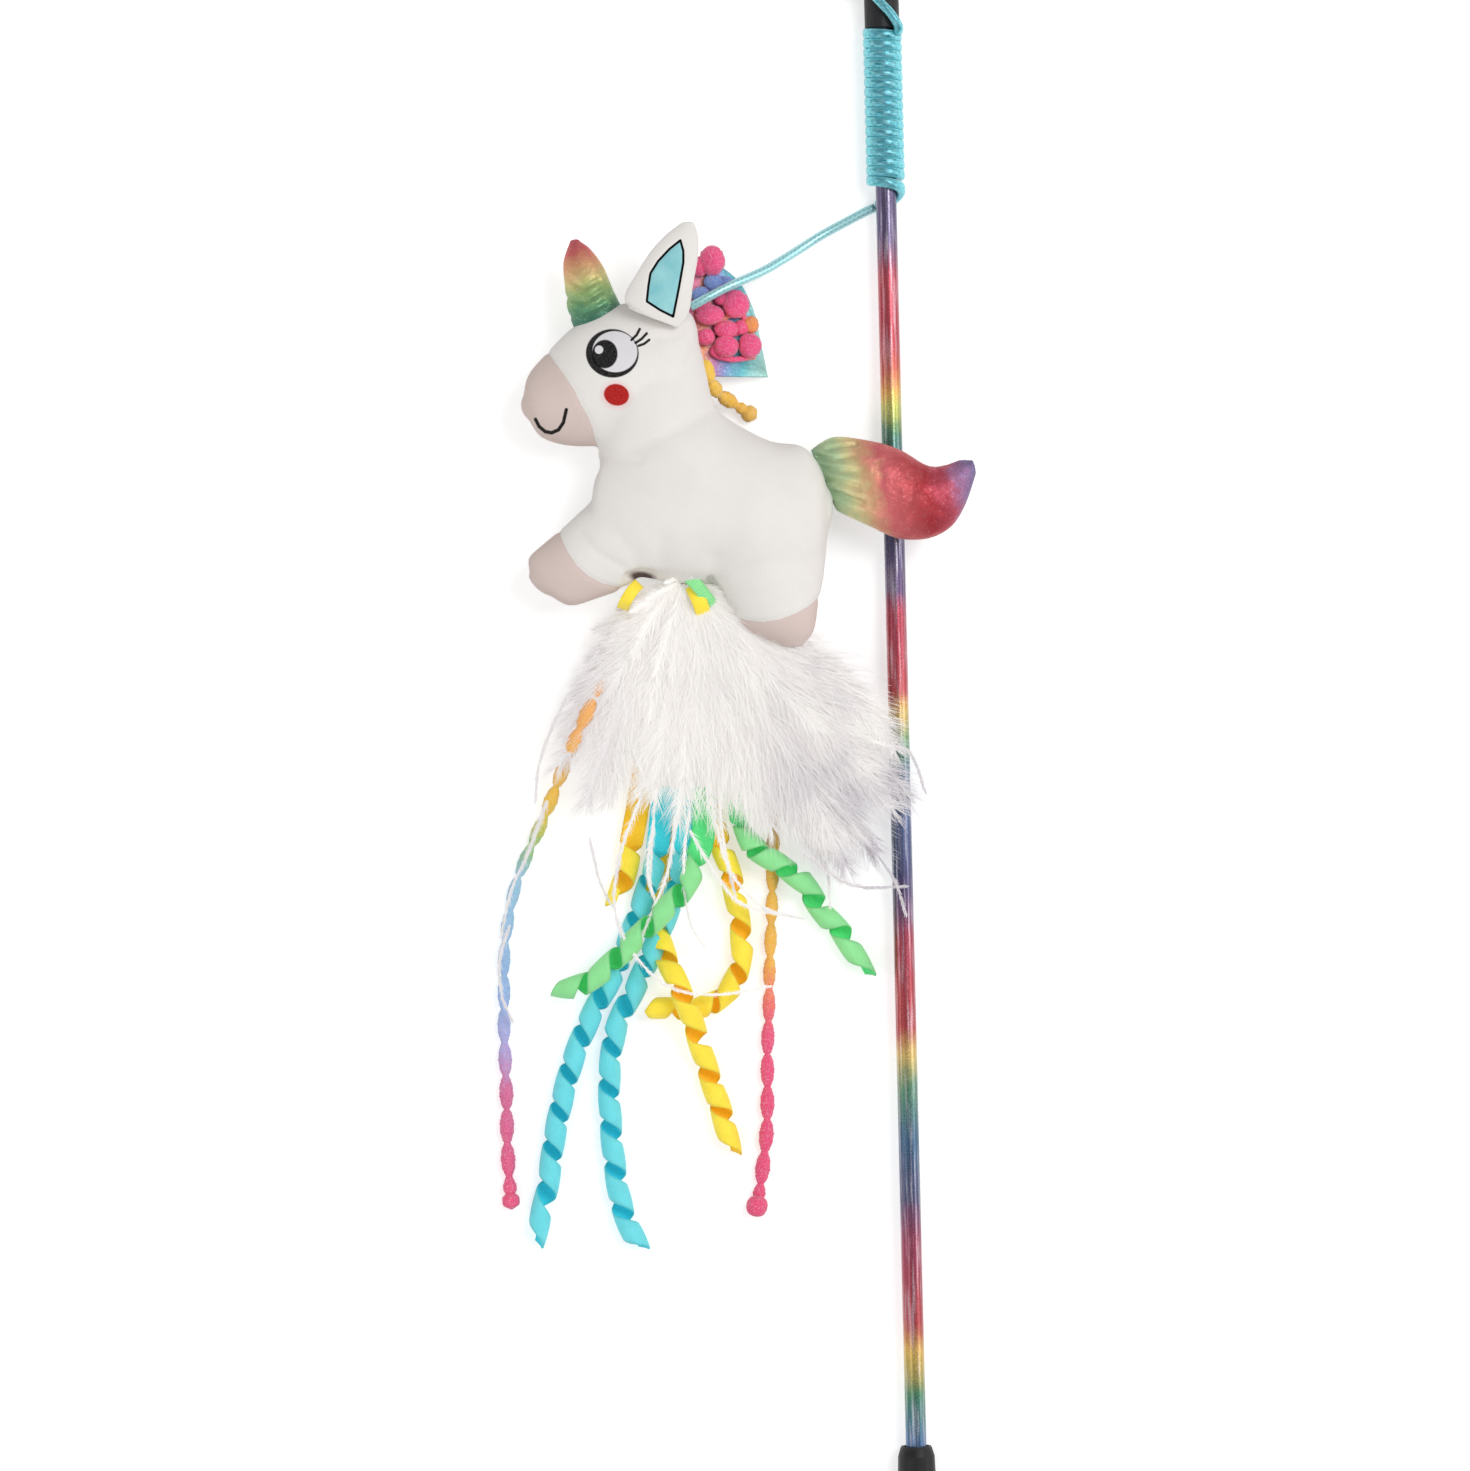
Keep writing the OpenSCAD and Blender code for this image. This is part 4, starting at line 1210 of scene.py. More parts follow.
@dataclass
class TeaserCord:
    """One teal cord: out of the sleeve, wound on the rod below it, and on to the toy's neck."""

    diameter: float = 2.7 * MM
    wind_radius: float = 4.5 * MM
    wind_turns: float = 16.0
    wind_pitch: float = 2.94 * MM
    wind_top: float = 525.4 * MM
    wound_width: float = 1.15
    sides: int = 12
    wind_slack: float = 5 * MM
    turn_points: int = 28
    squareness: float = 0.62
    # the wound stretch carries the painted reflection
    finish: SatinCordFinish = SatinCordFinish(painted_reflection_share=0.8)
    # painted light: the free stretch wears a paler copy of the same cord's satin
    painted_paler_free_finish: SatinCordFinish = SatinCordFinish(color=linear(178, 228, 230), deep=linear(116, 190, 200))
    lead: Rows = (
        (0, 555.6, 0), (0, 557, 0), (-0.4, 559.2, 0), (-1.7, 561.8, -0.4), (-4, 563.6, -1),
        (-6.8, 563.8, -1.6), (-9.2, 562.2, -2), (-10.6, 559.6, -2.1), (-10.8, 556.5, -1.9),
        (-10, 553.4, -1.4), (-8.8, 550.4, -0.6), (-7.6, 547.4, 0.5), (-6.7, 544.4, 1.8),
        (-5.8, 541.4, 3.4), (-4.5, 538.4, 5), (-2.8, 535.4, 6.1), (-0.4, 532.4, 6.7), (2.1, 529.6, 7),
        (3.9, 527, 6.8), (4.9, 525, 6), (4.7, 523.8, 4.6))
    to_toy: Rows = (
        (-3.2, 472, -4.5), (-5.2, 471.3, -4.6), (-8, 470, -4.7), (-11.5, 468.2, -4.7),
        (-15.5, 466.2, -4.7), (-20, 463.8, -4.2), (-24, 461.3, -3.1), (-28, 458.8, -1.4),
        (-32.4, 456.1, 1), (-36.6, 453.6, 3.6), (-41, 451.5, 6), (-45.5, 449.5, 8.2), (-50, 447.4, 9.7),
        (-54, 445.3, 10.5), (-57, 443.7, 10.7), (-59.4, 442.5, 10.6))

    def _wound(self) -> list[Place]:
        """Wind the cord on the rod, with its last turn slack.

        Returns:
            Points of the winding.
        """
        count = int((self.wind_turns + 0.25) * self.turn_points)
        points = []
        for i in range(count + 1):
            turn = i / self.turn_points
            angle = math.pi + 2 * math.pi * turn
            late = max(0.0, turn - self.wind_turns + 0.75)
            y = self.wind_top - self.wind_pitch * turn - self.wind_slack * late ** 4
            points.append((-self.wind_radius * math.cos(angle), y, self.wind_radius * math.sin(angle)))
        return points

    def _cord(self, name: str, route: Array, body: str, nodes: Sequence[str]) -> Piece:
        """Args:
            name: Name of the piece.
            route: Points of its middle line.
            body: Body that it rides on.
            nodes: Solids that it stands for.

        Returns:
            The piece.
        """
        route[:, 2] = np.maximum(route[:, 2], TABLE_Z + self.diameter / 2)
        length = float(walked(route)[-1])
        radii = np.full(len(route), self.diameter / 2)
        piece = tube(name, route, radii, self.sides, np.array((1.0, 0.2, 0.3)))
        finish = self.finish if body == "wand" else self.painted_paler_free_finish
        Bench.hand_over(piece, finish.material("satin_" + name, length), "satin_cord", *nodes, body=body)
        log.info("cord: %s is %.0f mm long", name, length / MM)
        return piece

    def build(self) -> None:
        """Make both stretches and dress the hidden knot."""
        lead = even_route([[v * MM for v in p] for p in self.lead], 1 * MM)
        wound = np.array(self._wound())
        end = wound[-1] + np.array((-3.2 * MM, -0.1 * MM, 0.0))
        over = even_route([lead[-1], wound[0] + (0, 0, 2.2 * MM), wound[0]], 1 * MM)
        joined = np.concatenate([lead[:-1], over, wound[1:], [end]])
        piece = self._cord("tip_cord", joined, "wand", ("cord_tip_lead", "cord_winding"))
        places, middle = Bench.points(piece), np.repeat(joined, self.sides, axis=0)
        first = self.sides * (len(joined) - len(wound))
        shares = (places - middle)[first:] / (self.diameter / 2)
        lifted = np.linalg.norm(shares[:, (0, 2)], axis=1)
        shares[:, 1] = np.sign(shares[:, 1]) * np.abs(shares[:, 1]) ** self.squareness * self.wound_width
        shares[:, (0, 2)] *= (np.maximum(lifted, 1e-6) ** (self.squareness - 1))[:, None]
        places[first:] = middle[first:] + shares * (self.diameter / 2)
        Bench.put(piece, places)
        Bench.wear("cord_knot", piece.data.materials[0])
        free = even_route([[v * MM for v in p] for p in self.to_toy], 1.5 * MM)
        self._cord("toy_cord", free, "cord_link", ("cord_to_toy",))


class Ends(Enum):
    """How a stuffed form closes."""

    OPEN = "open"
    FAR = "far"
    BOTH = "both"


@dataclass
class StuffedForm:
    """A stuffed form between two sewn edges, as the solids have it, with finer rings."""

    shares: Rows
    ends: Ends
    sides: int = 44
    steps: int = 7
    thick_shares: Sequence[float] | None = None
    thickness: float = TOY_THICKNESS
    heights: Sequence[float] | None = None
    dome: float = 0.46
    finer: bool = False

    def _rows(self) -> Array:
        """Turn shares into real sizes.

        Returns:
            Rows of two edge points, half thickness and height.
        """
        rows = []
        for i, r in enumerate(self.shares):
            thick = self.thick_shares[i] if self.thick_shares else r[4]
            z = self.heights[i] if self.heights else TOY_MIDDLE_Z
            rows.append((r[0] * TOY_LENGTH, r[1] * TOY_HEIGHT, r[2] * TOY_LENGTH, r[3] * TOY_HEIGHT,
                         thick * self.thickness, z))
        return np.array(rows)

    def _middle(self, row: Array) -> Array:
        """Give the middle of a row."""
        return np.array(((row[0] + row[2]) / 2, (row[1] + row[3]) / 2, row[5]))

    def _oval(self, row: Array, grow: float, push: Array) -> Array:
        """Make one ring.

        Args:
            row: Its row.
            grow: Its share of the full size.
            push: How far it is pushed out.

        Returns:
            Points of the ring.
        """
        middle = self._middle(row) + push
        half = np.array(((row[2] - row[0]) / 2, (row[3] - row[1]) / 2, 0.0)) * grow
        turn = np.linspace(0, 2 * math.pi, self.sides, endpoint=False)
        return middle + half * np.cos(turn)[:, None] + UP * (row[4] * grow * np.sin(turn))[:, None]

    def _dome(self, row: Array, following: Array) -> list[Array]:
        """Round off one end.

        Args:
            row: The end's row.
            following: The row next to it.

        Returns:
            Rings from the dome's top to the end's row.
        """
        width = math.hypot(row[2] - row[0], row[3] - row[1]) / 2
        out = unit(self._middle(row) - self._middle(following)) * min(row[4], width) * self.dome
        turns = np.radians((86, 76, 62, 48, 32, 16))
        return [self._oval(row, math.cos(a), out * math.sin(a)) for a in turns]

    def build(self, name: str) -> Piece:
        """Loft the form and put it in its place on the toy.

        Args:
            name: Name of the piece.

        Returns:
            The closed form.
        """
        rows = self._rows()
        count = (len(rows) - 1) * self.steps
        fine = [along(rows, i / self.steps) for i in range(count + 1)]
        rings = [self._oval(r, 1.0, np.zeros(3)) for r in fine]
        if self.ends is Ends.BOTH:
            rings = self._dome(fine[0], fine[1]) + rings
        if self.ends is not Ends.OPEN:
            rings = rings + self._dome(fine[-1], fine[-2])[::-1]
        piece = Bench.loft(name, np.array([toy_place(r) for r in rings]))
        if self.finer:
            Bench.modify(piece, "SUBSURF", levels=1, render_levels=1)
        return piece


@dataclass
class Unicorn:
    """The stuffed body with its pink muzzle and hooves, and its ear, horn and tail."""

    plush: PlushFinish = field(default_factory=PlushFinish)
    voxel: float = 0.8 * MM
    seam_depth: float = 0.45 * MM
    # Settings of the cloth simulation that stuffs the body
    stuffing: tuple[tuple[str, float], ...] = (
        ("quality", 4), ("mass", 0.02), ("tension_stiffness", 12), ("compression_stiffness", 12),
        ("bending_stiffness", 0.3), ("use_pressure", True), ("uniform_pressure_force", 4.0))
    torso: Rows = (
        (0.243, 0.5, 0.222, 0.41, 0.16), (0.268, 0.58, 0.215, 0.3, 0.3), (0.345, 0.65, 0.285, 0.22, 0.41),
        (0.445, 0.71, 0.39, 0.2, 0.48), (0.565, 0.715, 0.505, 0.185, 0.5), (0.68, 0.65, 0.61, 0.18, 0.5),
        (0.79, 0.6, 0.74, 0.165, 0.49), (0.89, 0.585, 0.855, 0.17, 0.43), (0.945, 0.53, 0.945, 0.24, 0.3),
        (0.972, 0.46, 0.972, 0.34, 0.14))
    skull: Rows = (
        (0.005, 0.725, 0.02, 0.665, 0.16), (0.02, 0.79, 0.06, 0.61, 0.28),
        (0.08, 0.855, 0.145, 0.585, 0.36), (0.15, 0.92, 0.245, 0.585, 0.41),
        (0.235, 0.97, 0.345, 0.605, 0.44), (0.335, 1.0, 0.44, 0.665, 0.44),
        (0.44, 1.0, 0.525, 0.735, 0.4), (0.513, 0.975, 0.552, 0.85, 0.26))
    neck: Rows = (
        (0.26, 0.765, 0.565, 0.88, 0.36), (0.235, 0.675, 0.585, 0.81, 0.42),
        (0.235, 0.605, 0.6, 0.74, 0.43), (0.245, 0.54, 0.62, 0.685, 0.4), (0.27, 0.47, 0.66, 0.6, 0.3))
    front_leg: Rows = (
        (0.325, 0.515, 0.505, 0.3, 0.36), (0.215, 0.42, 0.39, 0.215, 0.36),
        (0.125, 0.345, 0.32, 0.17, 0.31), (0.06, 0.295, 0.25, 0.145, 0.27),
        (0.02, 0.26, 0.155, 0.12, 0.2), (0.025, 0.215, 0.09, 0.15, 0.13))
    hind_leg: Rows = (
        (0.605, 0.37, 0.985, 0.395, 0.38), (0.61, 0.255, 0.97, 0.295, 0.37),
        (0.63, 0.165, 0.96, 0.205, 0.36), (0.675, 0.09, 0.945, 0.135, 0.3),
        (0.735, 0.04, 0.93, 0.05, 0.23), (0.805, 0.015, 0.9, 0.015, 0.13))
    horn: Rows = (
        (0.175, 0.9, 0.325, 0.975), (0.145, 0.975, 0.29, 1.04), (0.135, 1.045, 0.26, 1.105),
        (0.13, 1.115, 0.22, 1.155), (0.15, 1.175, 0.185, 1.18))
    ear: Rows = (
        (0.335, 0.97, 0.495, 0.915), (0.33, 1.015, 0.53, 0.96), (0.365, 1.075, 0.545, 1.04),
        (0.405, 1.135, 0.56, 1.12), (0.46, 1.19, 0.56, 1.185), (0.505, 1.222, 0.548, 1.222))
    tail: Rows = (
        (0.915, 0.572, 0.998, 0.398), (0.99, 0.612, 1.04, 0.378), (1.11, 0.6, 1.105, 0.35),
        (1.2, 0.575, 1.195, 0.315), (1.285, 0.53, 1.29, 0.315), (1.34, 0.53, 1.365, 0.35),
        (1.385, 0.545, 1.41, 0.415), (1.425, 0.545, 1.44, 0.495))
    creases: Folds = (
        (((663, 545), (662, 560), (664, 580)), 0.7, 3.2),
        (((715, 562), (714, 577), (717, 592)), 0.8, 2.8),
        (((631, 580), (641, 577), (651, 578)), 4.0, 1.4),
        (((711, 582), (721, 596), (732, 611)), 3.2, 1.0),
        (((628, 585), (652, 577), (682, 580), (712, 583)), 0.8, 1.6),
        (((582, 535), (600, 556), (625, 570)), 0.5, 1.2),
        (((600, 452), (618, 462), (640, 464)), 0.5, 1.6),
        (((690, 330), (676, 340), (658, 343)), 0.4, 1.4))
    horn_folds: Folds = (
        (((566, 300), (585, 306), (606, 292)), 0.5, 0.9),
        (((570, 282), (585, 292), (600, 283)), 0.5, 0.9),
        (((572, 318), (588, 316), (606, 306)), 0.5, 0.9))
    tail_folds: Folds = (
        (((816, 458), (832, 462), (852, 458)), 1.1, 0.8),
        (((822, 470), (838, 473), (856, 474)), 1.1, 0.8),
        (((826, 482), (842, 485), (858, 490)), 1.1, 0.8),
        (((832, 494), (846, 500), (862, 506)), 1.1, 0.8),
        (((828, 450), (842, 448), (856, 446)), 1.1, 0.8),
        (((872, 452), (880, 480), (876, 510)), 0.35, 1.6),
        (((905, 470), (912, 490), (905, 520)), 0.35, 1.6),
        (((938, 475), (944, 492), (940, 512)), 0.35, 1.6),
        (((955, 468), (960, 478), (958, 492)), 0.35, 1.6))
    muzzle_edge: Points = (
        (543, 345), (548, 354), (558, 368), (566, 379), (576, 394), (583, 409), (590, 421), (594, 432),
        (598, 452))
    front_hoof_edge: Points = (
        (556, 522), (560, 532), (564, 544), (570, 555), (579, 568), (590, 578), (603, 585), (619, 589),
        (634, 590))
    hind_hoof_edge: Points = (
        (722, 615), (732, 618), (746, 622), (762, 623.5), (779, 621), (795, 615), (808, 608), (820, 598))

    def _pad(self, piece: Piece, swell: float, rounds: int) -> None:
        """Stuff a piece by cloth simulation, with its swelling capped.

        Args:
            piece: The piece.
            swell: Farthest that a point may move.
            rounds: Frames of the simulation.
        """
        before = Bench.points(piece)
        Bench.take(piece)
        step = piece.modifiers.new("Cloth", "CLOTH")
        for name, value in self.stuffing:
            setattr(step.settings, name, value)
        step.settings.effector_weights.gravity = 0.0
        step.point_cache.frame_start = 1
        step.point_cache.frame_end = rounds
        for number in range(1, rounds + 1):
            bpy.context.scene.frame_set(number)
        bpy.ops.object.modifier_apply(modifier=step.name)
        bpy.context.scene.frame_set(1)
        moved = Bench.points(piece) - before
        reach = np.linalg.norm(moved, axis=1)
        moved *= (np.minimum(reach, swell) / np.maximum(reach, 1e-9))[:, None]
        Bench.put(piece, before + moved)
        mean = float(np.minimum(reach, swell).mean())
        log.info("%s: stuffed, mean swelling %.2f mm", piece.name, mean / MM)

    def _panel_seam(self, piece: Piece, middle: float, depth: float) -> None:
        """Pull in the seam that runs round a stuffed form between its two panels.

        Args:
            piece: The piece.
            middle: Height of the seam.
            depth: Depth of the seam.
        """
        places, out = Bench.points(piece), Bench.normals(piece)
        near = np.exp(-((places[:, 2] - middle) / (0.6 * MM)) ** 2)
        puckers = 0.75 + 0.25 * np.sin(places[:, 0] * 3900) * np.cos(places[:, 1] * 3300)
        sink = depth * near * puckers * smooth_step(1.4 - 2 * np.abs(out[:, 2]))
        Bench.put(piece, places - out * sink[:, None])

    def _fold(self, piece: Piece, folds: Folds, top_only: bool = False) -> None:
        """Press in lines of the photograph, each with its depth and width in millimetres."""
        for line, depth, width in folds:
            Bench.press(piece, photo_line(line), depth * MM, width * MM, top_only)

    def body(self) -> None:
        """Make the stuffed body in one skin, with its seams and creases."""
        forms = [StuffedForm(self.torso, Ends.BOTH).build("torso_form"),
                 StuffedForm(self.skull, Ends.BOTH).build("skull_form"),
                 StuffedForm(self.neck, Ends.OPEN).build("neck_form"),
                 StuffedForm(self.front_leg, Ends.FAR).build("front_leg_form"),
                 StuffedForm(self.hind_leg, Ends.FAR).build("hind_leg_form")]
        piece = Bench.join(forms, "unicorn_body")
        Bench.modify(piece, "REMESH", mode="VOXEL", voxel_size=self.voxel)
        Bench.modify(piece, "SMOOTH", factor=0.5, iterations=10)
        self._pad(piece, 0.7 * MM, 14)
        places = Bench.points(piece)
        muzzle = photo_line(self.muzzle_edge)
        front = photo_line(self.front_hoof_edge)
        hind = photo_line(self.hind_hoof_edge)
        for edge in (muzzle, front, hind):
            Bench.press(piece, edge, self.seam_depth, 0.7 * MM)
        self._panel_seam(piece, TOY_MIDDLE_Z, 0.5 * MM)
        self._fold(piece, self.creases, top_only=True)
        Bench.rest(piece)
        closing = ((muzzle, ((560, 470), (480, 470), (480, 340))),
                   (front, ((640, 680), (480, 680), (480, 500))),
                   (hind, ((840, 610), (840, 690), (700, 690), (700, 620))))
        pink = [signed_distance(places, edge, np.concatenate([edge, photo_line(corners)]))
                for edge, corners in closing]
        Bench.note(piece, "pink_side", np.maximum.reduce(pink))
        Bench.hand_over(piece, self.plush.body(), "white_plush", "torso", "head", "muzzle", "front_leg",
                        "front_hoof", "hind_leg", "hind_hoof", body="toy")
        log.info("unicorn: body of %d faces", len(piece.data.polygons))

    def _run_along(self, piece: Piece, start: tuple[float, float], end: tuple[float, float],
                   bow: float = 0.0) -> None:
        """Keep how far each point lies from a form's base towards its tip.

        Args:
            piece: The piece.
            start: The base, in the photograph.
            end: The tip, in the photograph.
            bow: How much further the middle line lags than the edges.
        """
        a, b = photo_place(*start), photo_place(*end)
        span = b - a
        flat = Bench.points(piece)[:, :2] - a
        share = flat @ span / (span @ span)
        off = (flat @ np.array((-span[1], span[0]))) / (span @ span)
        Bench.note(piece, "foil_run", share + bow * off)

    def add_horn(self) -> None:
        """Make the stuffed foil horn."""
        form = StuffedForm(self.horn, Ends.FAR, thick_shares=(0.5, 0.47, 0.4, 0.28, 0.12),
                           thickness=13 * MM, steps=10, finer=True)
        piece = form.build("unicorn_horn")
        self._panel_seam(piece, TOY_MIDDLE_Z, 0.5 * MM)
        self._fold(piece, self.horn_folds)
        self._run_along(piece, (599, 322), (574, 240))
        finish = FoilFinish("horn_foil", (
            (0.0, 58, 112, 92), (0.16, 92, 146, 104), (0.34, 150, 176, 110),
            (0.5, 198, 186, 122), (0.66, 210, 156, 112), (0.82, 202, 98, 96),
            (1.0, 184, 78, 92)))
        Bench.hand_over(piece, finish.material(), "rainbow_foil", "horn", body="toy")
        log.info("unicorn: horn")

    def add_tail(self) -> None:
        """Make the stuffed foil tail, gathered where it is sewn in."""
        height = [TOY_MIDDLE_Z, 10.6 * MM] + [11.2 * MM] * 6
        form = StuffedForm(self.tail, Ends.FAR, thick_shares=(0.08, 0.36, 0.5, 0.5, 0.46, 0.38, 0.26, 0.14),
                           thickness=15 * MM, heights=height, steps=10, finer=True)
        piece = form.build("unicorn_tail")
        self._panel_seam(piece, 11.2 * MM, 0.5 * MM)
        self._fold(piece, self.tail_folds)
        self._run_along(piece, (812, 470), (972, 490), bow=0.35)
        finish = FoilFinish("tail_foil", (
            (0.0, 150, 184, 150), (0.14, 176, 200, 156), (0.24, 212, 204, 148),
            (0.33, 208, 160, 120), (0.44, 206, 100, 104), (0.7, 166, 38, 48),
            (0.84, 178, 68, 88), (0.92, 150, 96, 132), (1.0, 118, 100, 142)), painted_crease_highlight=0.45, painted_glint_share=0.12)
        Bench.hand_over(piece, finish.material(), "red_foil", "tail")
        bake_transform(piece)
        log.info("unicorn: tail")

    def add_ear(self) -> None:
        """Make the ear, a thin stuffed form with a printed lining."""
        thickness = 6 * MM
        base = TOY_MIDDLE_Z + TOY_THICKNESS * 0.33 + 0.3 * MM + thickness / 2
        heights = [base - i * thickness * 0.12 for i in range(6)]
        form = StuffedForm(self.ear, Ends.FAR, thick_shares=(0.42, 0.5, 0.5, 0.44, 0.34, 0.2),
                           thickness=thickness, heights=heights, steps=12, sides=64, finer=True)
        piece = form.build("unicorn_ear")
        lining = ((678, 242), (681, 253), (681, 264), (676.5, 290), (671, 318), (658, 311.5), (645, 303),
                  (646.5, 288), (648.5, 275), (656, 263), (667, 251))
        outline = photo_line([(x + 3, y + 4) for x, y in lining])
        closed = np.concatenate([outline, outline[:1]])
        Bench.press(piece, closed, 0.3 * MM, 0.5 * MM, top_only=True)
        Bench.press(piece, photo_line(((628, 312), (640, 320), (654, 328), (676, 336))), 0.9 * MM, 1.0 * MM)
        places, out = Bench.points(piece), Bench.normals(piece)
        signed = signed_distance(places, closed, outline)
        Bench.note(piece, "lining_side", np.where(out[:, 2] > 0, signed, -4 * MM))
        self._panel_seam(piece, base - thickness * 0.3, 0.2 * MM)
        Bench.hand_over(piece, self.plush.ear(), "white_plush", "ear", body="ear_body")
        log.info("unicorn: ear")

    def build(self) -> None:
        """Make the whole stuffed toy."""
        self.body()
        self.add_horn()
        self.add_tail()
        self.add_ear()
        Bench.wear("streamer_tab", self.plush.plain())


@dataclass
class Mane:
    """The foil flap in the neck seam, its fat bobbles, and the loose yellow strand below it."""

    tilt: float = math.radians(14)
    hinge_share: float = 0.56
    drop: float = 7.8 * MM
    thickness: float = 1.2 * MM
    rows: Rows = (
        (0.545, 1.09, 0.62, 1.12), (0.525, 1.02, 0.7, 1.06), (0.53, 0.93, 0.742, 0.975),
        (0.545, 0.85, 0.768, 0.87), (0.56, 0.79, 0.79, 0.79))
    bobbles: tuple[tuple[float, float, float, float, str], ...] = (
        (712, 262, 26, 30, "pink"), (736, 305, 27, 28, "pink"), (710, 316, 28, 20, "pink"),
        (726, 347, 25, 22, "pink"), (750, 346, 23, 25, "pink"), (726, 330, 24, 18, "pink"),
        (713, 283, 18, 18, "blue"), (701, 296, 18, 17, "blue"), (751, 325, 16, 17, "orange"),
        (726, 284, 16, 14, "blue"), (706, 338, 18, 17, "pink"), (700, 268, 16, 20, "pink"),
        (722, 300, 15, 13, "pink"), (741, 328, 16, 15, "pink"), (703, 308, 17, 14, "pink"))
    strand: Rows = (
        (0.582, 0.835, 0.52), (0.592, 0.795, 0.5), (0.606, 0.765, 0.42), (0.622, 0.742, 0.3),
        (0.66, 0.72, 0.17), (0.705, 0.695, 0.1), (0.745, 0.67, 0.07))

    def _on_flap(self, x: float, y: float, lift: float) -> Array:
        """Lean a point of the toy's own plane onto the flap.

        Args:
            x: Place across, from the toy's corner.
            y: Place up, from the toy's corner.
            lift: Height over the flap's lower face.

        Returns:
            The point in the wand's frame.
        """
        across = x - self.hinge_share * TOY_LENGTH
        c, s = math.cos(self.tilt), math.sin(self.tilt)
        point = np.array((self.hinge_share * TOY_LENGTH + across * c + lift * s, y,
                          TOY_MIDDLE_Z - self.drop - across * s + lift * c))
        return toy_place(point[None, :])[0]

    def add_flap(self) -> None:
        """Make the flap as a sheet with soft folds."""
        table = np.array(self.rows)
        long, wide = 40, 26
        places, keep = [], []
        for i in range(long + 1):
            row = along(table, i / long * (len(table) - 1))
            for j in range(wide + 1):
                u, v = j / wide, i / long
                x = (row[0] + (row[2] - row[0]) * u) * TOY_LENGTH
                y = (row[1] + (row[3] - row[1]) * u) * TOY_HEIGHT
                fold = 0.5 * MM * u * (math.sin(9 * v + 2.5 * u) + 0.5 * math.sin(21 * v - 3 * u))
                places.append(self._on_flap(x, y, self.thickness / 2 + fold))
                keep.append(0.75 * u + 0.35 * v)
        faces = [face[:1] + face[:0:-1] for face in strips(long + 1, wide + 1)]
        piece = Bench.mesh("mane_flap_cloth", np.array(places), faces)
        Bench.note(piece, "foil_run", np.array(keep))
        Bench.modify(piece, "SOLIDIFY", thickness=0.7 * MM, offset=0.0)
        Bench.modify(piece, "BEVEL", width=0.2 * MM, segments=2, limit_method="ANGLE")
        finish = FoilFinish("mane_foil", (
            (0.0, 206, 110, 150), (0.2, 212, 120, 150), (0.34, 226, 160, 120),
            (0.48, 186, 120, 166), (0.62, 120, 140, 190), (0.78, 92, 176, 186),
            (1.0, 150, 196, 190)), painted_crease_highlight=0.5)
        Bench.hand_over(piece, finish.material(), "teal_foil", "mane_flap", body="toy")
        log.info("mane: flap")

    def add_bobbles(self) -> None:
        """Model one fat bobble and copy it along the mane."""
        Bench.clear()
        bpy.ops.mesh.primitive_uv_sphere_add(segments=20, ring_count=14, radius=1.0, location=(0, 0, 0))
        seed = bpy.context.object
        bpy.ops.object.mode_set(mode="EDIT")
        bpy.ops.mesh.select_all(action="SELECT")
        bpy.ops.transform.vertex_random(offset=0.06, uniform=0.5, normal=1.0, seed=3)
        bpy.ops.object.mode_set(mode="OBJECT")
        shape = Bench.points(seed)
        runs = {"pink": 0.1, "orange": 0.5, "blue": 0.9}
        parts = []
        for number, (x, y, wide, high, tint) in enumerate(self.bobbles):
            part = seed.copy()
            part.data = seed.data.copy()
            bpy.context.scene.collection.objects.link(part)
            a, b, c = wide * PIXEL / 2, high * PIXEL / 2, (wide + high) * PIXEL / 4 * 0.9
            turn = number * 1.9
            turned = shape @ np.array(Matrix.Rotation(turn, 3, "Z"))
            flat = photo_place(x, y)
            own = (flat - TOY_CORNER[:2]) @ np.array(((math.cos(TOY_TURN), -math.sin(TOY_TURN)),
                                                      (math.sin(TOY_TURN), math.cos(TOY_TURN))))
            middle = self._on_flap(own[0], own[1], self.thickness + c * 0.85)
            middle[:2] = flat
            Bench.put(part, turned * np.array((a, b, c)) + middle)
            Bench.note(part, "yarn_run", np.full(len(shape), runs[tint]))
            parts.append(part)
        bpy.data.objects.remove(seed)
        thread = [self._on_flap(x * TOY_LENGTH, y * TOY_HEIGHT, self.thickness + 1.2 * MM) for x, y in (
            (0.6, 1.1), (0.58, 1.03), (0.57, 0.97), (0.62, 0.95), (0.69, 0.985), (0.7, 0.93), (0.64, 0.9),
            (0.6, 0.86), (0.66, 0.84), (0.74, 0.85))]
        route = even_route(thread, 0.8 * MM)
        string = tube("mane_thread", route, np.full(len(route), 0.9 * MM), 8, UP)
        Bench.note(string, "yarn_run", 0.35 + 0.3 * np.sin(np.arange(len(string.data.vertices)) * 0.011))
        piece = Bench.join([string] + parts, "mane_yarn")
        finish = YarnFinish("mane_yarn", ((0.0, 246, 84, 140), (0.3, 250, 100, 150),
                                          (0.5, 250, 160, 90), (0.65, 220, 130, 180),
                                          (0.9, 128, 160, 224), (1.0, 120, 150, 218)))
        Bench.hand_over(piece, finish.material(read="value"), "pink_yarn", "mane_bobbles", body="toy")
        log.info("mane: bobbles")

    def build(self) -> None:
        """Make the whole mane."""
        self.add_flap()
        self.add_bobbles()
        rows = [(x * TOY_LENGTH, y * TOY_HEIGHT, TABLE_Z + z * TOY_THICKNESS) for x, y, z in self.strand]
        finish = YarnFinish("strand_yarn", ((0.0, 254, 210, 84), (0.7, 252, 196, 74), (1.0, 250, 200, 100)))
        BobbleYarn("yellow_strand", toy_place(np.array(rows)), "strand_body", "mane_strand", "yellow_yarn",
                   finish, bobble=4.6 * MM, bare=0.0, spacing=6.6 * MM, knot=5.2 * MM).build()


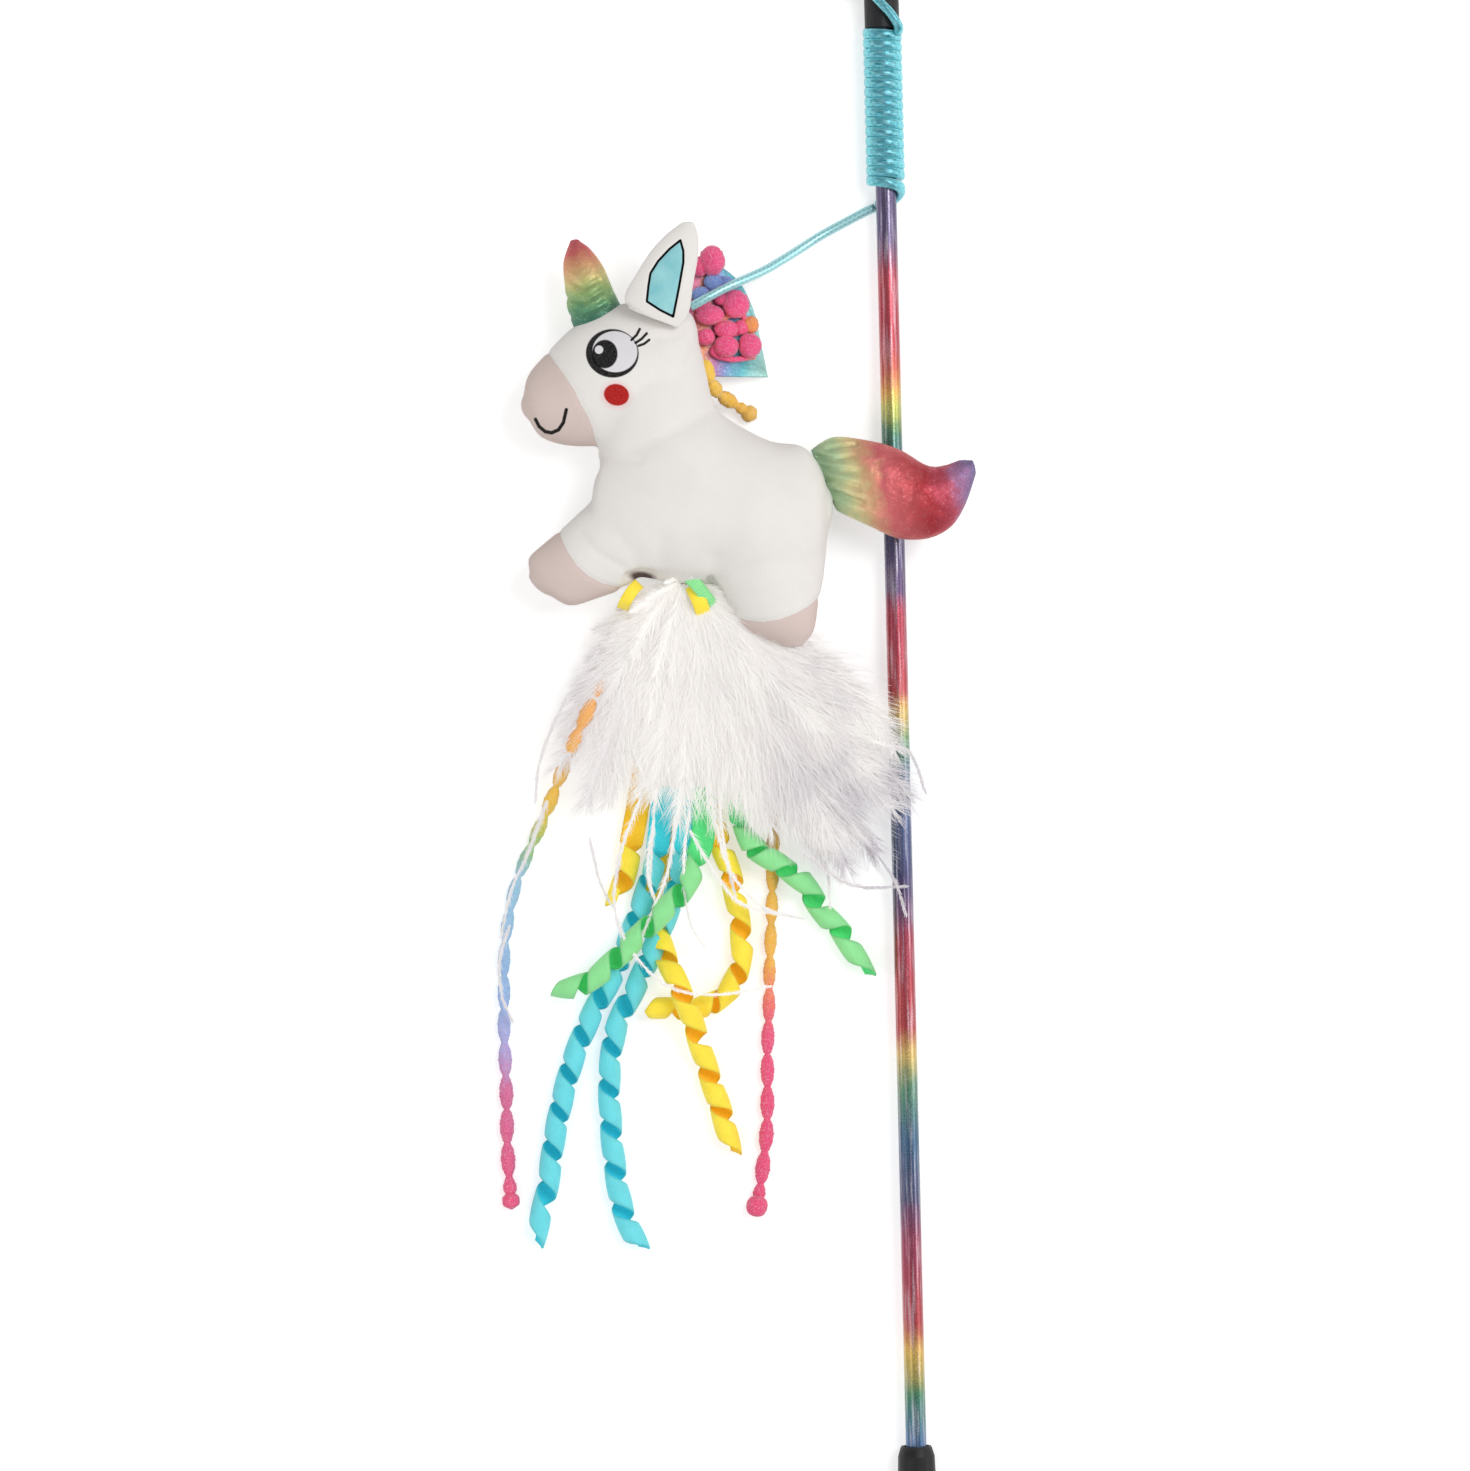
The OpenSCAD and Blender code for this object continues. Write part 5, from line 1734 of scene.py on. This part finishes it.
@dataclass
class BobbleYarn:
    """A yarn with soft bobbles, on the same route as its solid, with a knot at its end."""

    name: str
    rows: Array
    body: str
    node: str
    slot: str
    finish: YarnFinish
    bobble: float = 4.5 * MM
    spacing: float = 10 * MM
    bare: float = 2.0
    knot: float = 0.0
    shortest_cord: float = 30 * MM

    def build(self) -> None:
        route = even_route(self.rows, 0.55 * MM)
        done = walked(route)
        count = max(1, round(done[-1] / self.spacing))
        phase = done / done[-1] * count
        odd = np.sin(np.floor(phase) * 12.9898)
        swell = np.abs(np.sin(np.pi * phase)) ** 0.6
        swell *= smooth_step((phase - self.bare) / 0.3 + 0.5)
        radius = 0.75 * MM + (self.bobble / 2 - 0.75 * MM) * swell * (0.88 + 0.12 * odd)
        radius *= 1 + 0.05 * np.sin(done * 5200) + 0.04 * np.sin(done * 9100 + 1)
        if self.knot:
            near = np.exp(-((done - done[-1] + self.knot / 2) / (self.knot * 0.42)) ** 4)
            radius = np.maximum(radius * (1 - near), near * self.knot / 2)
        radius[0] = radius[-1] = 0.25 * MM
        route[:, 2] = np.maximum(route[:, 2], TABLE_Z + radius)
        piece = tube(self.name, route, radius, 14, UP)
        Bench.hand_over(piece, self.finish.material(), self.slot, self.node, body=self.body)
        log.info("yarn: %s is %.0f mm long", self.name, done[-1] / MM)


@dataclass
class CurledRibbon:
    """A ribbed ribbon, flat as far as one of its rows and curled from there on."""

    name: str
    shares: Rows
    flat: int
    finish: RibbonFinish
    width: float = 7 * MM
    thickness: float = 0.45 * MM
    pitch: float = 12.3 * MM
    rings: int = 22
    start_turns: float = 0.35
    start_narrow: float = 0.4
    across: int = 6
    crown: float = 0.25 * MM
    radius: float = (CURL - 0.6 * MM) / 2
    step: float = 0.01

    def __post_init__(self) -> None:
        """Carry the route to real sizes, and count its curls."""
        self.rows = np.array(self.shares) * (STREAMER_REACH, STREAMER_REACH, CURL) + UP * TABLE_Z
        self.last = len(self.rows) - 1
        run = sum(np.linalg.norm(self.rows[i + 1] - self.rows[i]) for i in range(self.flat, self.last))
        self.curls = round(run / self.pitch * 4) / 4

    def _point(self, u: float) -> Array:
        """Read the route at a place, held between its ends."""
        return along(self.rows, min(max(u, 0), self.last))

    def _turned(self, u: float) -> tuple[Array, Array, Array, float]:
        """Follow the curls as far as a place on the route.

        Args:
            u: The place, in rows from the start.

        Returns:
            The heading, the outward and the round direction, and the share to which the curl is grown.
        """
        t = unit(self._point(u + self.step) - self._point(u - self.step))
        side = unit(np.cross(t, UP))
        up = np.cross(side, t)
        a = 2 * math.pi * self.curls * max(0.0, u - self.flat) / (self.last - self.flat)
        grown = float(smooth_step(np.array(a / 2 / math.pi / self.start_turns)))
        return t, side * math.sin(a) - up * math.cos(a), side * math.cos(a) + up * math.sin(a), grown

    def _centre(self, u: float) -> Array:
        """Give the middle of the band at a place."""
        _, out, _, grown = self._turned(u)
        return self._point(u) + out * self.radius * grown

    def _bands(self) -> tuple[Array, Array]:
        """Follow the route and lay the band across it.

        Returns:
            Rings of points across the band, and the outward direction at each ring.
        """
        places = [i / 4 for i in range(4 * self.flat)]
        places += list(np.linspace(self.flat, self.last, int(self.curls * self.rings) + 1))
        rings, outs = [], []
        for number, u in enumerate(places):
            t, _, round_way, g = self._turned(u)
            ahead = self._centre(min(u + self.step, self.last)) - self._centre(max(u - self.step, 0))
            w = unit(t * g - round_way * (1 - g))
            q = np.cross(w, unit(ahead))
            reach = self.width / 2 / np.linalg.norm(q) * (1 - self.start_narrow * 4 * g * (1 - g))
            left = min(1.0, (len(places) - 1 - number) / 4)
            shares = np.linspace(-1, 0.15 + 0.85 * left, self.across + 1)
            c = self._centre(u)
            ring = [c + w * reach * s for s in shares]
            if g > 0.5 and number:
                swell = unit(c - self._point(u)) * self.crown
                ring = [p + swell * (1 - s * s) for p, s in zip(ring, shares)]
            rings.append(ring)
            outs.append(unit(q))
        return np.array(rings), np.array(outs)

    def build(self) -> None:
        """Make the ribbon."""
        rings, outs = self._bands()
        count, wide = rings.shape[0], rings.shape[1]
        half = outs[:, None, :] * self.thickness / 2
        outer = toy_place((rings + half).reshape(-1, 3) + TAB)
        inner = toy_place((rings - half).reshape(-1, 3) + TAB)
        places = np.concatenate([outer, inner])
        done = walked(rings[:, wide // 2])
        own = own_map(done, np.linspace(0, 1, wide))
        faces, base = [], count * wide
        for i in range(count - 1):
            for j in range(wide - 1):
                a, b, c, d = i * wide + j, i * wide + j + 1, (i + 1) * wide + j + 1, (i + 1) * wide + j
                faces += [(a, b, c, d), (base + d, base + c, base + b, base + a)]
            a, b = i * wide, (i + 1) * wide
            far, next_far = a + wide - 1, b + wide - 1
            faces += [(a, b, base + b, base + a), (base + far, base + next_far, next_far, far)]
        for j in range(wide - 1):
            end = (count - 1) * wide + j
            faces += [(j + 1, j, base + j, base + j + 1), (end, end + 1, base + end + 1, base + end)]
        piece = Bench.mesh(self.name + "_band", places, faces, np.concatenate([own, own]))
        Bench.rest(piece)
        Bench.note(piece, "inner_face", np.concatenate([np.zeros(base), np.ones(base)]))
        Bench.hand_over(piece, self.finish.material(float(done[-1])), self.finish.name, self.name,
                        body="streamers")
        log.info("ribbon: %s is %.0f mm long", piece.name, done[-1] / MM)


@dataclass
class Plumes:
    """The bunch of marabou feathers: a soft heart, plumes of fine barbs, and a few long wisps."""

    seed: int = 7
    barbs_each: int = 900
    barb_width: float = 0.19 * MM
    groups: int = 5
    root: tuple[float, float] = (684, 580)
    middle_z: float = 8.4 * MM
    top_z: float = 18 * MM
    low_z: float = -3.4 * MM
    drops: tuple[float, ...] = (1, 2, 3, 4, 5, 5.5, 6, 6)
    bends: tuple[float, ...] = (0.0, 0.36, 0.7, 1.0)
    narrowing: tuple[float, ...] = (1.0, 0.8, 0.55, 0.2)
    shares: Rows = (
        (0.47, 0.14, 0.57, 0.138), (0.425, 0.09, 0.625, 0.085), (0.36, 0.03, 0.68, 0.01),
        (0.245, -0.03, 0.87, -0.065), (0.145, -0.13, 1.03, -0.13), (0.16, -0.23, 0.98, -0.23),
        (0.25, -0.33, 0.86, -0.33), (0.36, -0.4, 0.74, -0.4))
    tips: Points = (
        (600, 612), (580, 650), (564, 690), (550, 735), (540, 780), (552, 812), (580, 828), (612, 836),
        (640, 846), (668, 850), (696, 852), (724, 850), (750, 850), (782, 866), (815, 884), (850, 898),
        (888, 898), (926, 882), (944, 846), (944, 806), (930, 764), (900, 724), (866, 690), (836, 664),
        (806, 640))
    belly: Points = ((634, 612), (648, 600), (666, 584), (680, 572), (692, 578))
    wisps: tuple[Points, ...] = (
        ((640, 800), (622, 850), (615, 905), (632, 950), (668, 985), (715, 994), (768, 986)),
        ((690, 810), (684, 865), (690, 920), (704, 945)), ((655, 820), (648, 870), (660, 915)),
        ((715, 820), (730, 870), (760, 905), (790, 915)),
        ((700, 640), (780, 690), (860, 740), (912, 800)),
        ((760, 720), (830, 800), (888, 870), (905, 912)), ((590, 835), (600, 880), (612, 905)),
        ((690, 830), (720, 880), (745, 905), (800, 918)),
        ((600, 650), (566, 700), (541, 760), (536, 800)), ((800, 850), (850, 884), (904, 886)),
        ((664, 640), (660, 720), (655, 800), (650, 880)),
        ((700, 650), (716, 740), (722, 830), (736, 900)),
        ((740, 700), (790, 760), (822, 840), (830, 905)),
        ((676, 820), (668, 870), (655, 905), (632, 960)),
        ((812, 700), (866, 738), (908, 752), (924, 790)))
    yarn_wisps: tuple[Points, ...] = (
        ((548, 800), (530, 850), (512, 890), (502, 935)),
        ((510, 925), (500, 960), (502, 995), (512, 1020)))

    def __post_init__(self) -> None:
        """Start the source of repeatable chance."""
        self.rng = np.random.default_rng(self.seed)

    def _heart(self) -> Piece:
        """Make the soft, lumpy heart of the bunch.

        Returns:
            The piece.
        """
        pulled = [((a + c) / 2 + (a - c) * 0.33, b, (a + c) / 2 + (c - a) * 0.33, d)
                  for a, b, c, d in self.shares]
        heights = [self.middle_z - drop * MM for drop in self.drops]
        form = StuffedForm(pulled, Ends.FAR, thick_shares=(0.2, 0.28, 0.34, 0.36, 0.34, 0.28, 0.2, 0.1),
                           thickness=9 * MM, heights=heights, steps=9, sides=64, finer=True)
        piece = form.build("feather_heart")
        places, out = Bench.points(piece), Bench.normals(piece)
        root = photo_place(*self.root)
        angle = np.arctan2(places[:, 0] - root[0], root[1] - places[:, 1])
        reach = np.linalg.norm(places[:, :2] - root, axis=1)
        lumps = 0.9 * np.sin(angle * 17 + 2 * np.sin(reach * 120)) + 0.6 * np.sin(angle * 31 + reach * 260)
        lumps += 0.5 * np.sin(reach * 420 + 3 * np.sin(angle * 9))
        Bench.put(piece, places + out * (lumps * 0.5 * MM)[:, None])
        return Bench.smooth(piece)

    def _barbs(self, points: Array, ahead: Array, size: Array, spread: tuple[float, float]) -> Array:
        """Grow fine barbs to both sides of a line.

        Args:
            points: Where each barb is rooted.
            ahead: Heading of the line there.
            size: Length of each barb.
            spread: Least and greatest lean away from the line.

        Returns:
            Four points of each barb.
        """
        count = len(points)
        side = np.cross(ahead, UP) * self.rng.choice((-1.0, 1.0), (count, 1))
        lean = self.rng.uniform(*spread, (count, 1))
        way = ahead * (1.2 - 0.6 * lean) + side * lean + UP * self.rng.normal(0.0, 0.1, (count, 1))
        way /= np.linalg.norm(way, axis=1)[:, None]
        droop = ahead * self.rng.uniform(0.1, 0.5, (count, 1))
        droop -= side * self.rng.uniform(0.0, 0.3, (count, 1))
        droop += UP * self.rng.normal(0.0, 0.1, (count, 1))
        steps = np.array(self.bends)[None, :, None]
        reach = way[:, None] * steps + droop[:, None] * steps ** 2 * 0.5
        line = points[:, None] + size[:, None, None] * reach
        line[..., 2] = np.clip(line[..., 2], self.low_z, self.top_z)
        return line

    def _plume(self, tip: Array, height: float, bow: float) -> Array:
        """Lay out one plume: fine barbs along both sides of a bowed middle rib.

        Args:
            tip: Where its rib ends, seen from above.
            height: How high its tip lies.
            bow: How far its rib bows aside, as a share of its length.

        Returns:
            Four points of each barb.
        """
        root = np.array((*photo_place(*self.root), self.middle_z + 1.5 * MM))
        end = np.array((*tip, height))
        length = float(np.linalg.norm(end - root))
        waist = (root + end) / 2 + unit(np.cross(end - root, UP)) * bow * length + UP * 1.5 * MM
        count = int(self.barbs_each * (0.25 + 0.75 * length / (85 * MM)))
        t = (0.04 + 0.96 * self.rng.random(count) ** 0.72)[:, None]
        points = (1 - t) ** 2 * root + 2 * t * (1 - t) * waist + t * t * end
        ahead = (1 - t) * (waist - root) + t * (end - waist)
        ahead /= np.linalg.norm(ahead, axis=1)[:, None]
        fullness = 0.4 + 0.75 * np.sin(np.pi * np.minimum(t[:, 0] + 0.08, 1.0)) ** 0.7
        size = length * self.rng.uniform(0.1, 0.26, count) * fullness
        return self._barbs(points, ahead, size, (0.2, 0.8))

    def _wisp(self, line: Points) -> Array:
        """Lay out one long wisp: short soft barbs that hug a line.

        Args:
            line: Its course, in the photograph.

        Returns:
            Four points of each barb.
        """
        flat = photo_line(line)
        above = line[0][1] < 900
        heights = np.linspace(10 * MM if above else 1 * MM, 5 * MM if above else 1 * MM, len(flat))
        route = even_route(np.column_stack([flat, heights]), 0.4 * MM)
        ahead, _ = carried_sides(route, UP)
        picked = self.rng.integers(0, len(route), 5 * len(route))
        jitter = self.rng.normal(0.0, 0.16 * MM, (len(picked), 3))
        fluffy = self.rng.random(len(picked)) < 0.5
        size = self.rng.uniform(1.0, 2.6, len(picked)) * (1.2 - 0.6 * picked / len(route)) * MM
        hugging = self._barbs(route[picked] + jitter, ahead[picked], size, (0.0, 0.08))
        some = picked[fluffy]
        loose = self._barbs(route[some], ahead[some], size[fluffy] * 1.2, (0.1, 0.6))
        return np.concatenate([hugging, loose])

    def _bundle(self, name: str, barbs: Array) -> Piece:
        """Join many barbs into one piece of flat, hair-thin strips.

        Args:
            name: Name of the piece.
            barbs: Four points of each barb.

        Returns:
            The piece.
        """
        count, steps = barbs.shape[:2]
        ahead = barbs[:, -1] - barbs[:, 0]
        face = np.column_stack([self.rng.normal(0.0, 0.3, (count, 2)), np.ones(count)])
        flat = np.cross(ahead, face)
        flat /= np.linalg.norm(flat, axis=1)[:, None]
        widths = self.barb_width / 2 * self.rng.uniform(0.6, 1.25, count)
        half = flat[:, None] * widths[:, None, None] * np.array(self.narrowing)[None, :, None]
        places = np.stack([barbs - half, barbs + half], axis=2).reshape(-1, 3)
        starts = (np.arange(count) * 2 * steps)[:, None] + np.arange(steps - 1)[None, :] * 2
        faces = (starts[..., None] + np.array((0, 1, 3, 2))).reshape(-1, 4)
        return Bench.mesh(name, places, faces.tolist())

    def build(self) -> None:
        """Make the whole bunch in a few pieces."""
        down = DownFinish().material("down")
        root, edge = photo_place(*self.root), photo_line(self.tips)
        barbs = []
        for ring, reach in ((0, 0.88), (1, 0.72), (2, 0.55), (3, 0.36)):
            for near, far in zip(edge[:-1], edge[1:]):
                spot = near + (far - near) * self.rng.random()
                tip = root + (spot - root) * reach * self.rng.uniform(0.92, 1.05)
                height = self.middle_z + (ring * 1.6 - 2.6 + 1.0 * self.rng.normal()) * MM
                barbs.append(self._plume(tip, height, self.rng.uniform(-0.1, 0.1)))
        for spot in photo_line(self.belly):
            barbs.append(self._plume(spot, 15.5 * MM, self.rng.uniform(-0.1, 0.1)))
        every = np.concatenate(barbs)
        order = self.rng.permutation(len(every))
        pieces = [self._heart()]
        for number in range(self.groups):
            share = every[order[number::self.groups]]
            pieces.append(self._bundle(f"feather_barbs_{number + 1}", share))
        for name, lines in (("feather_wisps", self.wisps), ("yarn_wisps", self.yarn_wisps)):
            loose = np.concatenate([self._wisp(line) for line in lines])
            pieces.append(self._bundle(name, loose))
        for piece in pieces:
            body = "left_yarn_body" if piece.name == "yarn_wisps" else "streamers"
            nodes = ("feathers",) if piece is pieces[0] else ()
            Bench.hand_over(piece, down, "feather", *nodes, body=body)
            log.info("feathers: %s of %d faces", piece.name, len(piece.data.polygons))


@dataclass
class BellyTabs:
    """Short folded ends of ribbon that show between the belly and the feathers."""

    length: float = 12 * MM
    strips: tuple[tuple[str, Points, float], ...] = (
        ("yellow_ribbon", ((640, 584), (633, 592), (626, 603), (623, 610)), 3.6),
        ("green_ribbon", ((684, 574), (695, 584), (708, 600), (720, 618)), 3.8),
        ("yellow_ribbon", ((692, 586), (698, 598), (703, 612), (706, 622)), 4.6))

    def build(self, finishes: dict[str, RibbonFinish]) -> None:
        """Make each end as a thin bowed strip.

        Args:
            finishes: Finish of each ribbon slot.
        """
        for number, (slot, line, wide) in enumerate(self.strips):
            flat = photo_line(line)
            heights = np.array((12.0, 15.0, 13.6, 8.6)) * MM - number * 0.8 * MM
            route = even_route(np.column_stack([flat, heights]), 0.8 * MM)
            ahead = np.gradient(route, axis=0)
            side = np.cross(ahead, UP)
            side /= np.linalg.norm(side, axis=1)[:, None]
            share = np.linspace(-0.5, 0.5, 7)
            places = route[:, None] + side[:, None] * (share * wide * MM)[None, :, None]
            places[..., 2] -= (share ** 2 * 1.6 * MM)[None, :]
            own = own_map(np.linspace(0, 1, len(route)), share + 0.5)
            piece = Bench.mesh(f"belly_end_{number + 1}", places.reshape(-1, 3),
                               strips(len(route), len(share)), own)
            Bench.modify(piece, "SOLIDIFY", thickness=0.4 * MM, offset=-1.0)
            Bench.note(piece, "inner_face", np.zeros(len(piece.data.vertices)))
            Bench.hand_over(piece, finishes[slot].material(self.length), slot)
            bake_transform(piece)


@dataclass
class Streamers:
    """Everything stitched to the tab in the belly seam: ribbons, bobble yarns and feathers."""

    lowest: float = 2.4 * MM
    left: Rows = (
        (-0.01, -0.0125, 1.4), (-0.05, -0.045, 1.5), (-0.09, -0.09, 1.6), (-0.135, -0.16, 2.1),
        (-0.165, -0.22, 2.15), (-0.19, -0.28, 1.4), (-0.22, -0.355, 0.5), (-0.245, -0.41, 0.36),
        (-0.262, -0.455, 0.36), (-0.272, -0.5, 0.36), (-0.279, -0.55, 0.36), (-0.28, -0.61, 0.36),
        (-0.28, -0.67, 0.36), (-0.278, -0.73, 0.36), (-0.276, -0.79, 0.36), (-0.275, -0.85, 0.36),
        (-0.272, -0.905, 0.36), (-0.268, -0.955, 0.36))
    right: Rows = (
        (0.01, -0.0125, 1.3), (0.05, -0.03, 1.3), (0.085, -0.07, 0.7), (0.103, -0.13, 0.36),
        (0.116, -0.18, 0.36), (0.127, -0.23, 0.36), (0.133, -0.29, 0.36), (0.135, -0.35, 0.36),
        (0.134, -0.41, 0.36), (0.133, -0.47, 0.36), (0.131, -0.53, 0.36), (0.129, -0.59, 0.36),
        (0.128, -0.65, 0.36), (0.126, -0.71, 0.36), (0.126, -0.77, 0.36), (0.125, -0.83, 0.36),
        (0.12, -0.88, 0.36), (0.114, -0.925, 0.36), (0.107, -0.965, 0.36))

    ribbons: tuple[tuple[str, int, Rows], ...] = (
        ("teal_ribbon_left", 3, (
            (-0.008, -0.015, 0.5), (-0.022, -0.17, 0.5), (-0.034, -0.31, 0.5), (-0.044, -0.4, 0.52),
            (-0.06, -0.46, 0.56), (-0.083, -0.525, 0.54), (-0.11, -0.59, 0.52), (-0.145, -0.655, 0.52),
            (-0.172, -0.72, 0.52), (-0.19, -0.785, 0.52), (-0.203, -0.85, 0.52), (-0.213, -0.92, 0.52),
            (-0.232, -1, 0.52))),
        ("teal_ribbon_right", 3, (
            (0.004, -0.015, 0.64), (0.002, -0.17, 0.64), (0, -0.31, 0.64), (-0.004, -0.4, 0.66),
            (-0.018, -0.47, 0.72), (-0.043, -0.535, 0.7), (-0.071, -0.6, 0.6), (-0.105, -0.67, 0.52),
            (-0.117, -0.74, 0.52), (-0.116, -0.81, 0.52), (-0.11, -0.88, 0.52), (-0.098, -0.95, 0.52),
            (-0.074, -1.01, 0.52))),
        ("green_ribbon_left", 3, (
            (0.022, -0.015, 1.08), (0.028, -0.18, 1.08), (0.028, -0.36, 1.12), (0.018, -0.41, 1.54),
            (0, -0.455, 1.82), (-0.03, -0.49, 1.84), (-0.065, -0.525, 1.76), (-0.1, -0.56, 1.68),
            (-0.135, -0.592, 1.6), (-0.168, -0.61, 1.3), (-0.195, -0.61, 0.95))),
        ("green_ribbon_right", 2, (
            (0.03, -0.015, 0.92), (0.05, -0.18, 0.92), (0.085, -0.35, 0.94), (0.105, -0.395, 1.12),
            (0.14, -0.42, 1.24), (0.18, -0.45, 1), (0.21, -0.495, 0.62), (0.245, -0.535, 0.52),
            (0.275, -0.59, 0.52))),
        ("yellow_ribbon_short", 3, (
            (-0.02, -0.015, 0.36), (-0.05, -0.17, 0.36), (-0.07, -0.31, 0.36), (-0.084, -0.39, 0.5),
            (-0.091, -0.43, 0.52), (-0.106, -0.48, 0.52))),
        ("yellow_ribbon_long", 5, (
            (0.01, -0.015, 0.07), (0.006, -0.17, 0.07), (-0.008, -0.31, 0.07), (-0.03, -0.4, 0.07),
            (-0.044, -0.46, 0.1), (-0.043, -0.515, 0.35), (-0.032, -0.56, 0.95), (-0.012, -0.605, 1.6),
            (0.008, -0.655, 1.5), (0.025, -0.71, 0.72), (0.042, -0.765, 0.52), (0.057, -0.81, 0.52),
            (0.069, -0.862, 0.52))),
        ("yellow_ribbon_loop", 3, (
            (0.016, -0.015, 0.22), (0.022, -0.17, 0.22), (0.034, -0.31, 0.26), (0.05, -0.385, 0.52),
            (0.068, -0.435, 0.52), (0.08, -0.495, 0.52), (0.086, -0.555, 0.52), (0.072, -0.607, 0.52),
            (0.04, -0.636, 0.52), (0, -0.645, 0.52), (-0.05, -0.643, 0.52))))

    def _yarn_rows(self, shares: Rows) -> Array:
        """Place a yarn's route, as its solid has it."""
        rows = np.array(shares) * (STREAMER_REACH, STREAMER_REACH, CURL)
        return toy_place(np.maximum(rows, (-np.inf, -np.inf, self.lowest)) + UP * TABLE_Z + TAB)

    def build(self) -> None:
        """Make every streamer."""
        orange = (252, 184, 104)
        mixed = YarnFinish("left_yarn", (
            (0.0, *orange), (0.26, *orange), (0.38, 255, 208, 78), (0.45, 150, 200, 120),
            (0.5, 160, 206, 232), (0.68, 160, 194, 240), (0.76, 186, 172, 226), (0.82, 224, 112, 160),
            (1.0, 244, 88, 132)))
        BobbleYarn("left_yarn_thread", self._yarn_rows(self.left), "left_yarn_body", "left_yarn",
                   "mixed_yarn", mixed, knot=5.4 * MM).build()
        warm = YarnFinish("right_yarn", (
            (0.0, *orange), (0.4, 252, 196, 84), (0.6, 252, 190, 78), (0.66, 250, 128, 112),
            (0.72, 244, 88, 132), (1.0, 240, 84, 130)))
        BobbleYarn("right_yarn_thread", self._yarn_rows(self.right), "streamers", "right_yarn",
                   "mixed_yarn", warm, knot=6.4 * MM).build()
        # each ribbon's second colour is painted shade for its inner faces
        finishes = {finish.name: finish for finish in (
            RibbonFinish("teal_ribbon", linear(108, 224, 234), linear(62, 226, 244)),
            RibbonFinish("green_ribbon", linear(146, 234, 154), linear(92, 236, 138)),
            RibbonFinish("yellow_ribbon", linear(255, 228, 62), linear(255, 202, 32), glow=0.18))}
        for name, flat, rows in self.ribbons:
            CurledRibbon(name, rows, flat, finishes[name.rsplit("_", 1)[0]]).build()
        BellyTabs().build(finishes)
        Plumes().build()


def main() -> None:
    """Build the studio, the wand, its cord and the toy."""
    logging.basicConfig(level=logging.INFO, format="%(message)s")
    Studio().build()
    Effects()
    TeaserCord().build()
    Wand().dress()
    Unicorn().build()
    Mane().build()
    Streamers().build()


if __name__ == "__main__":
    main()
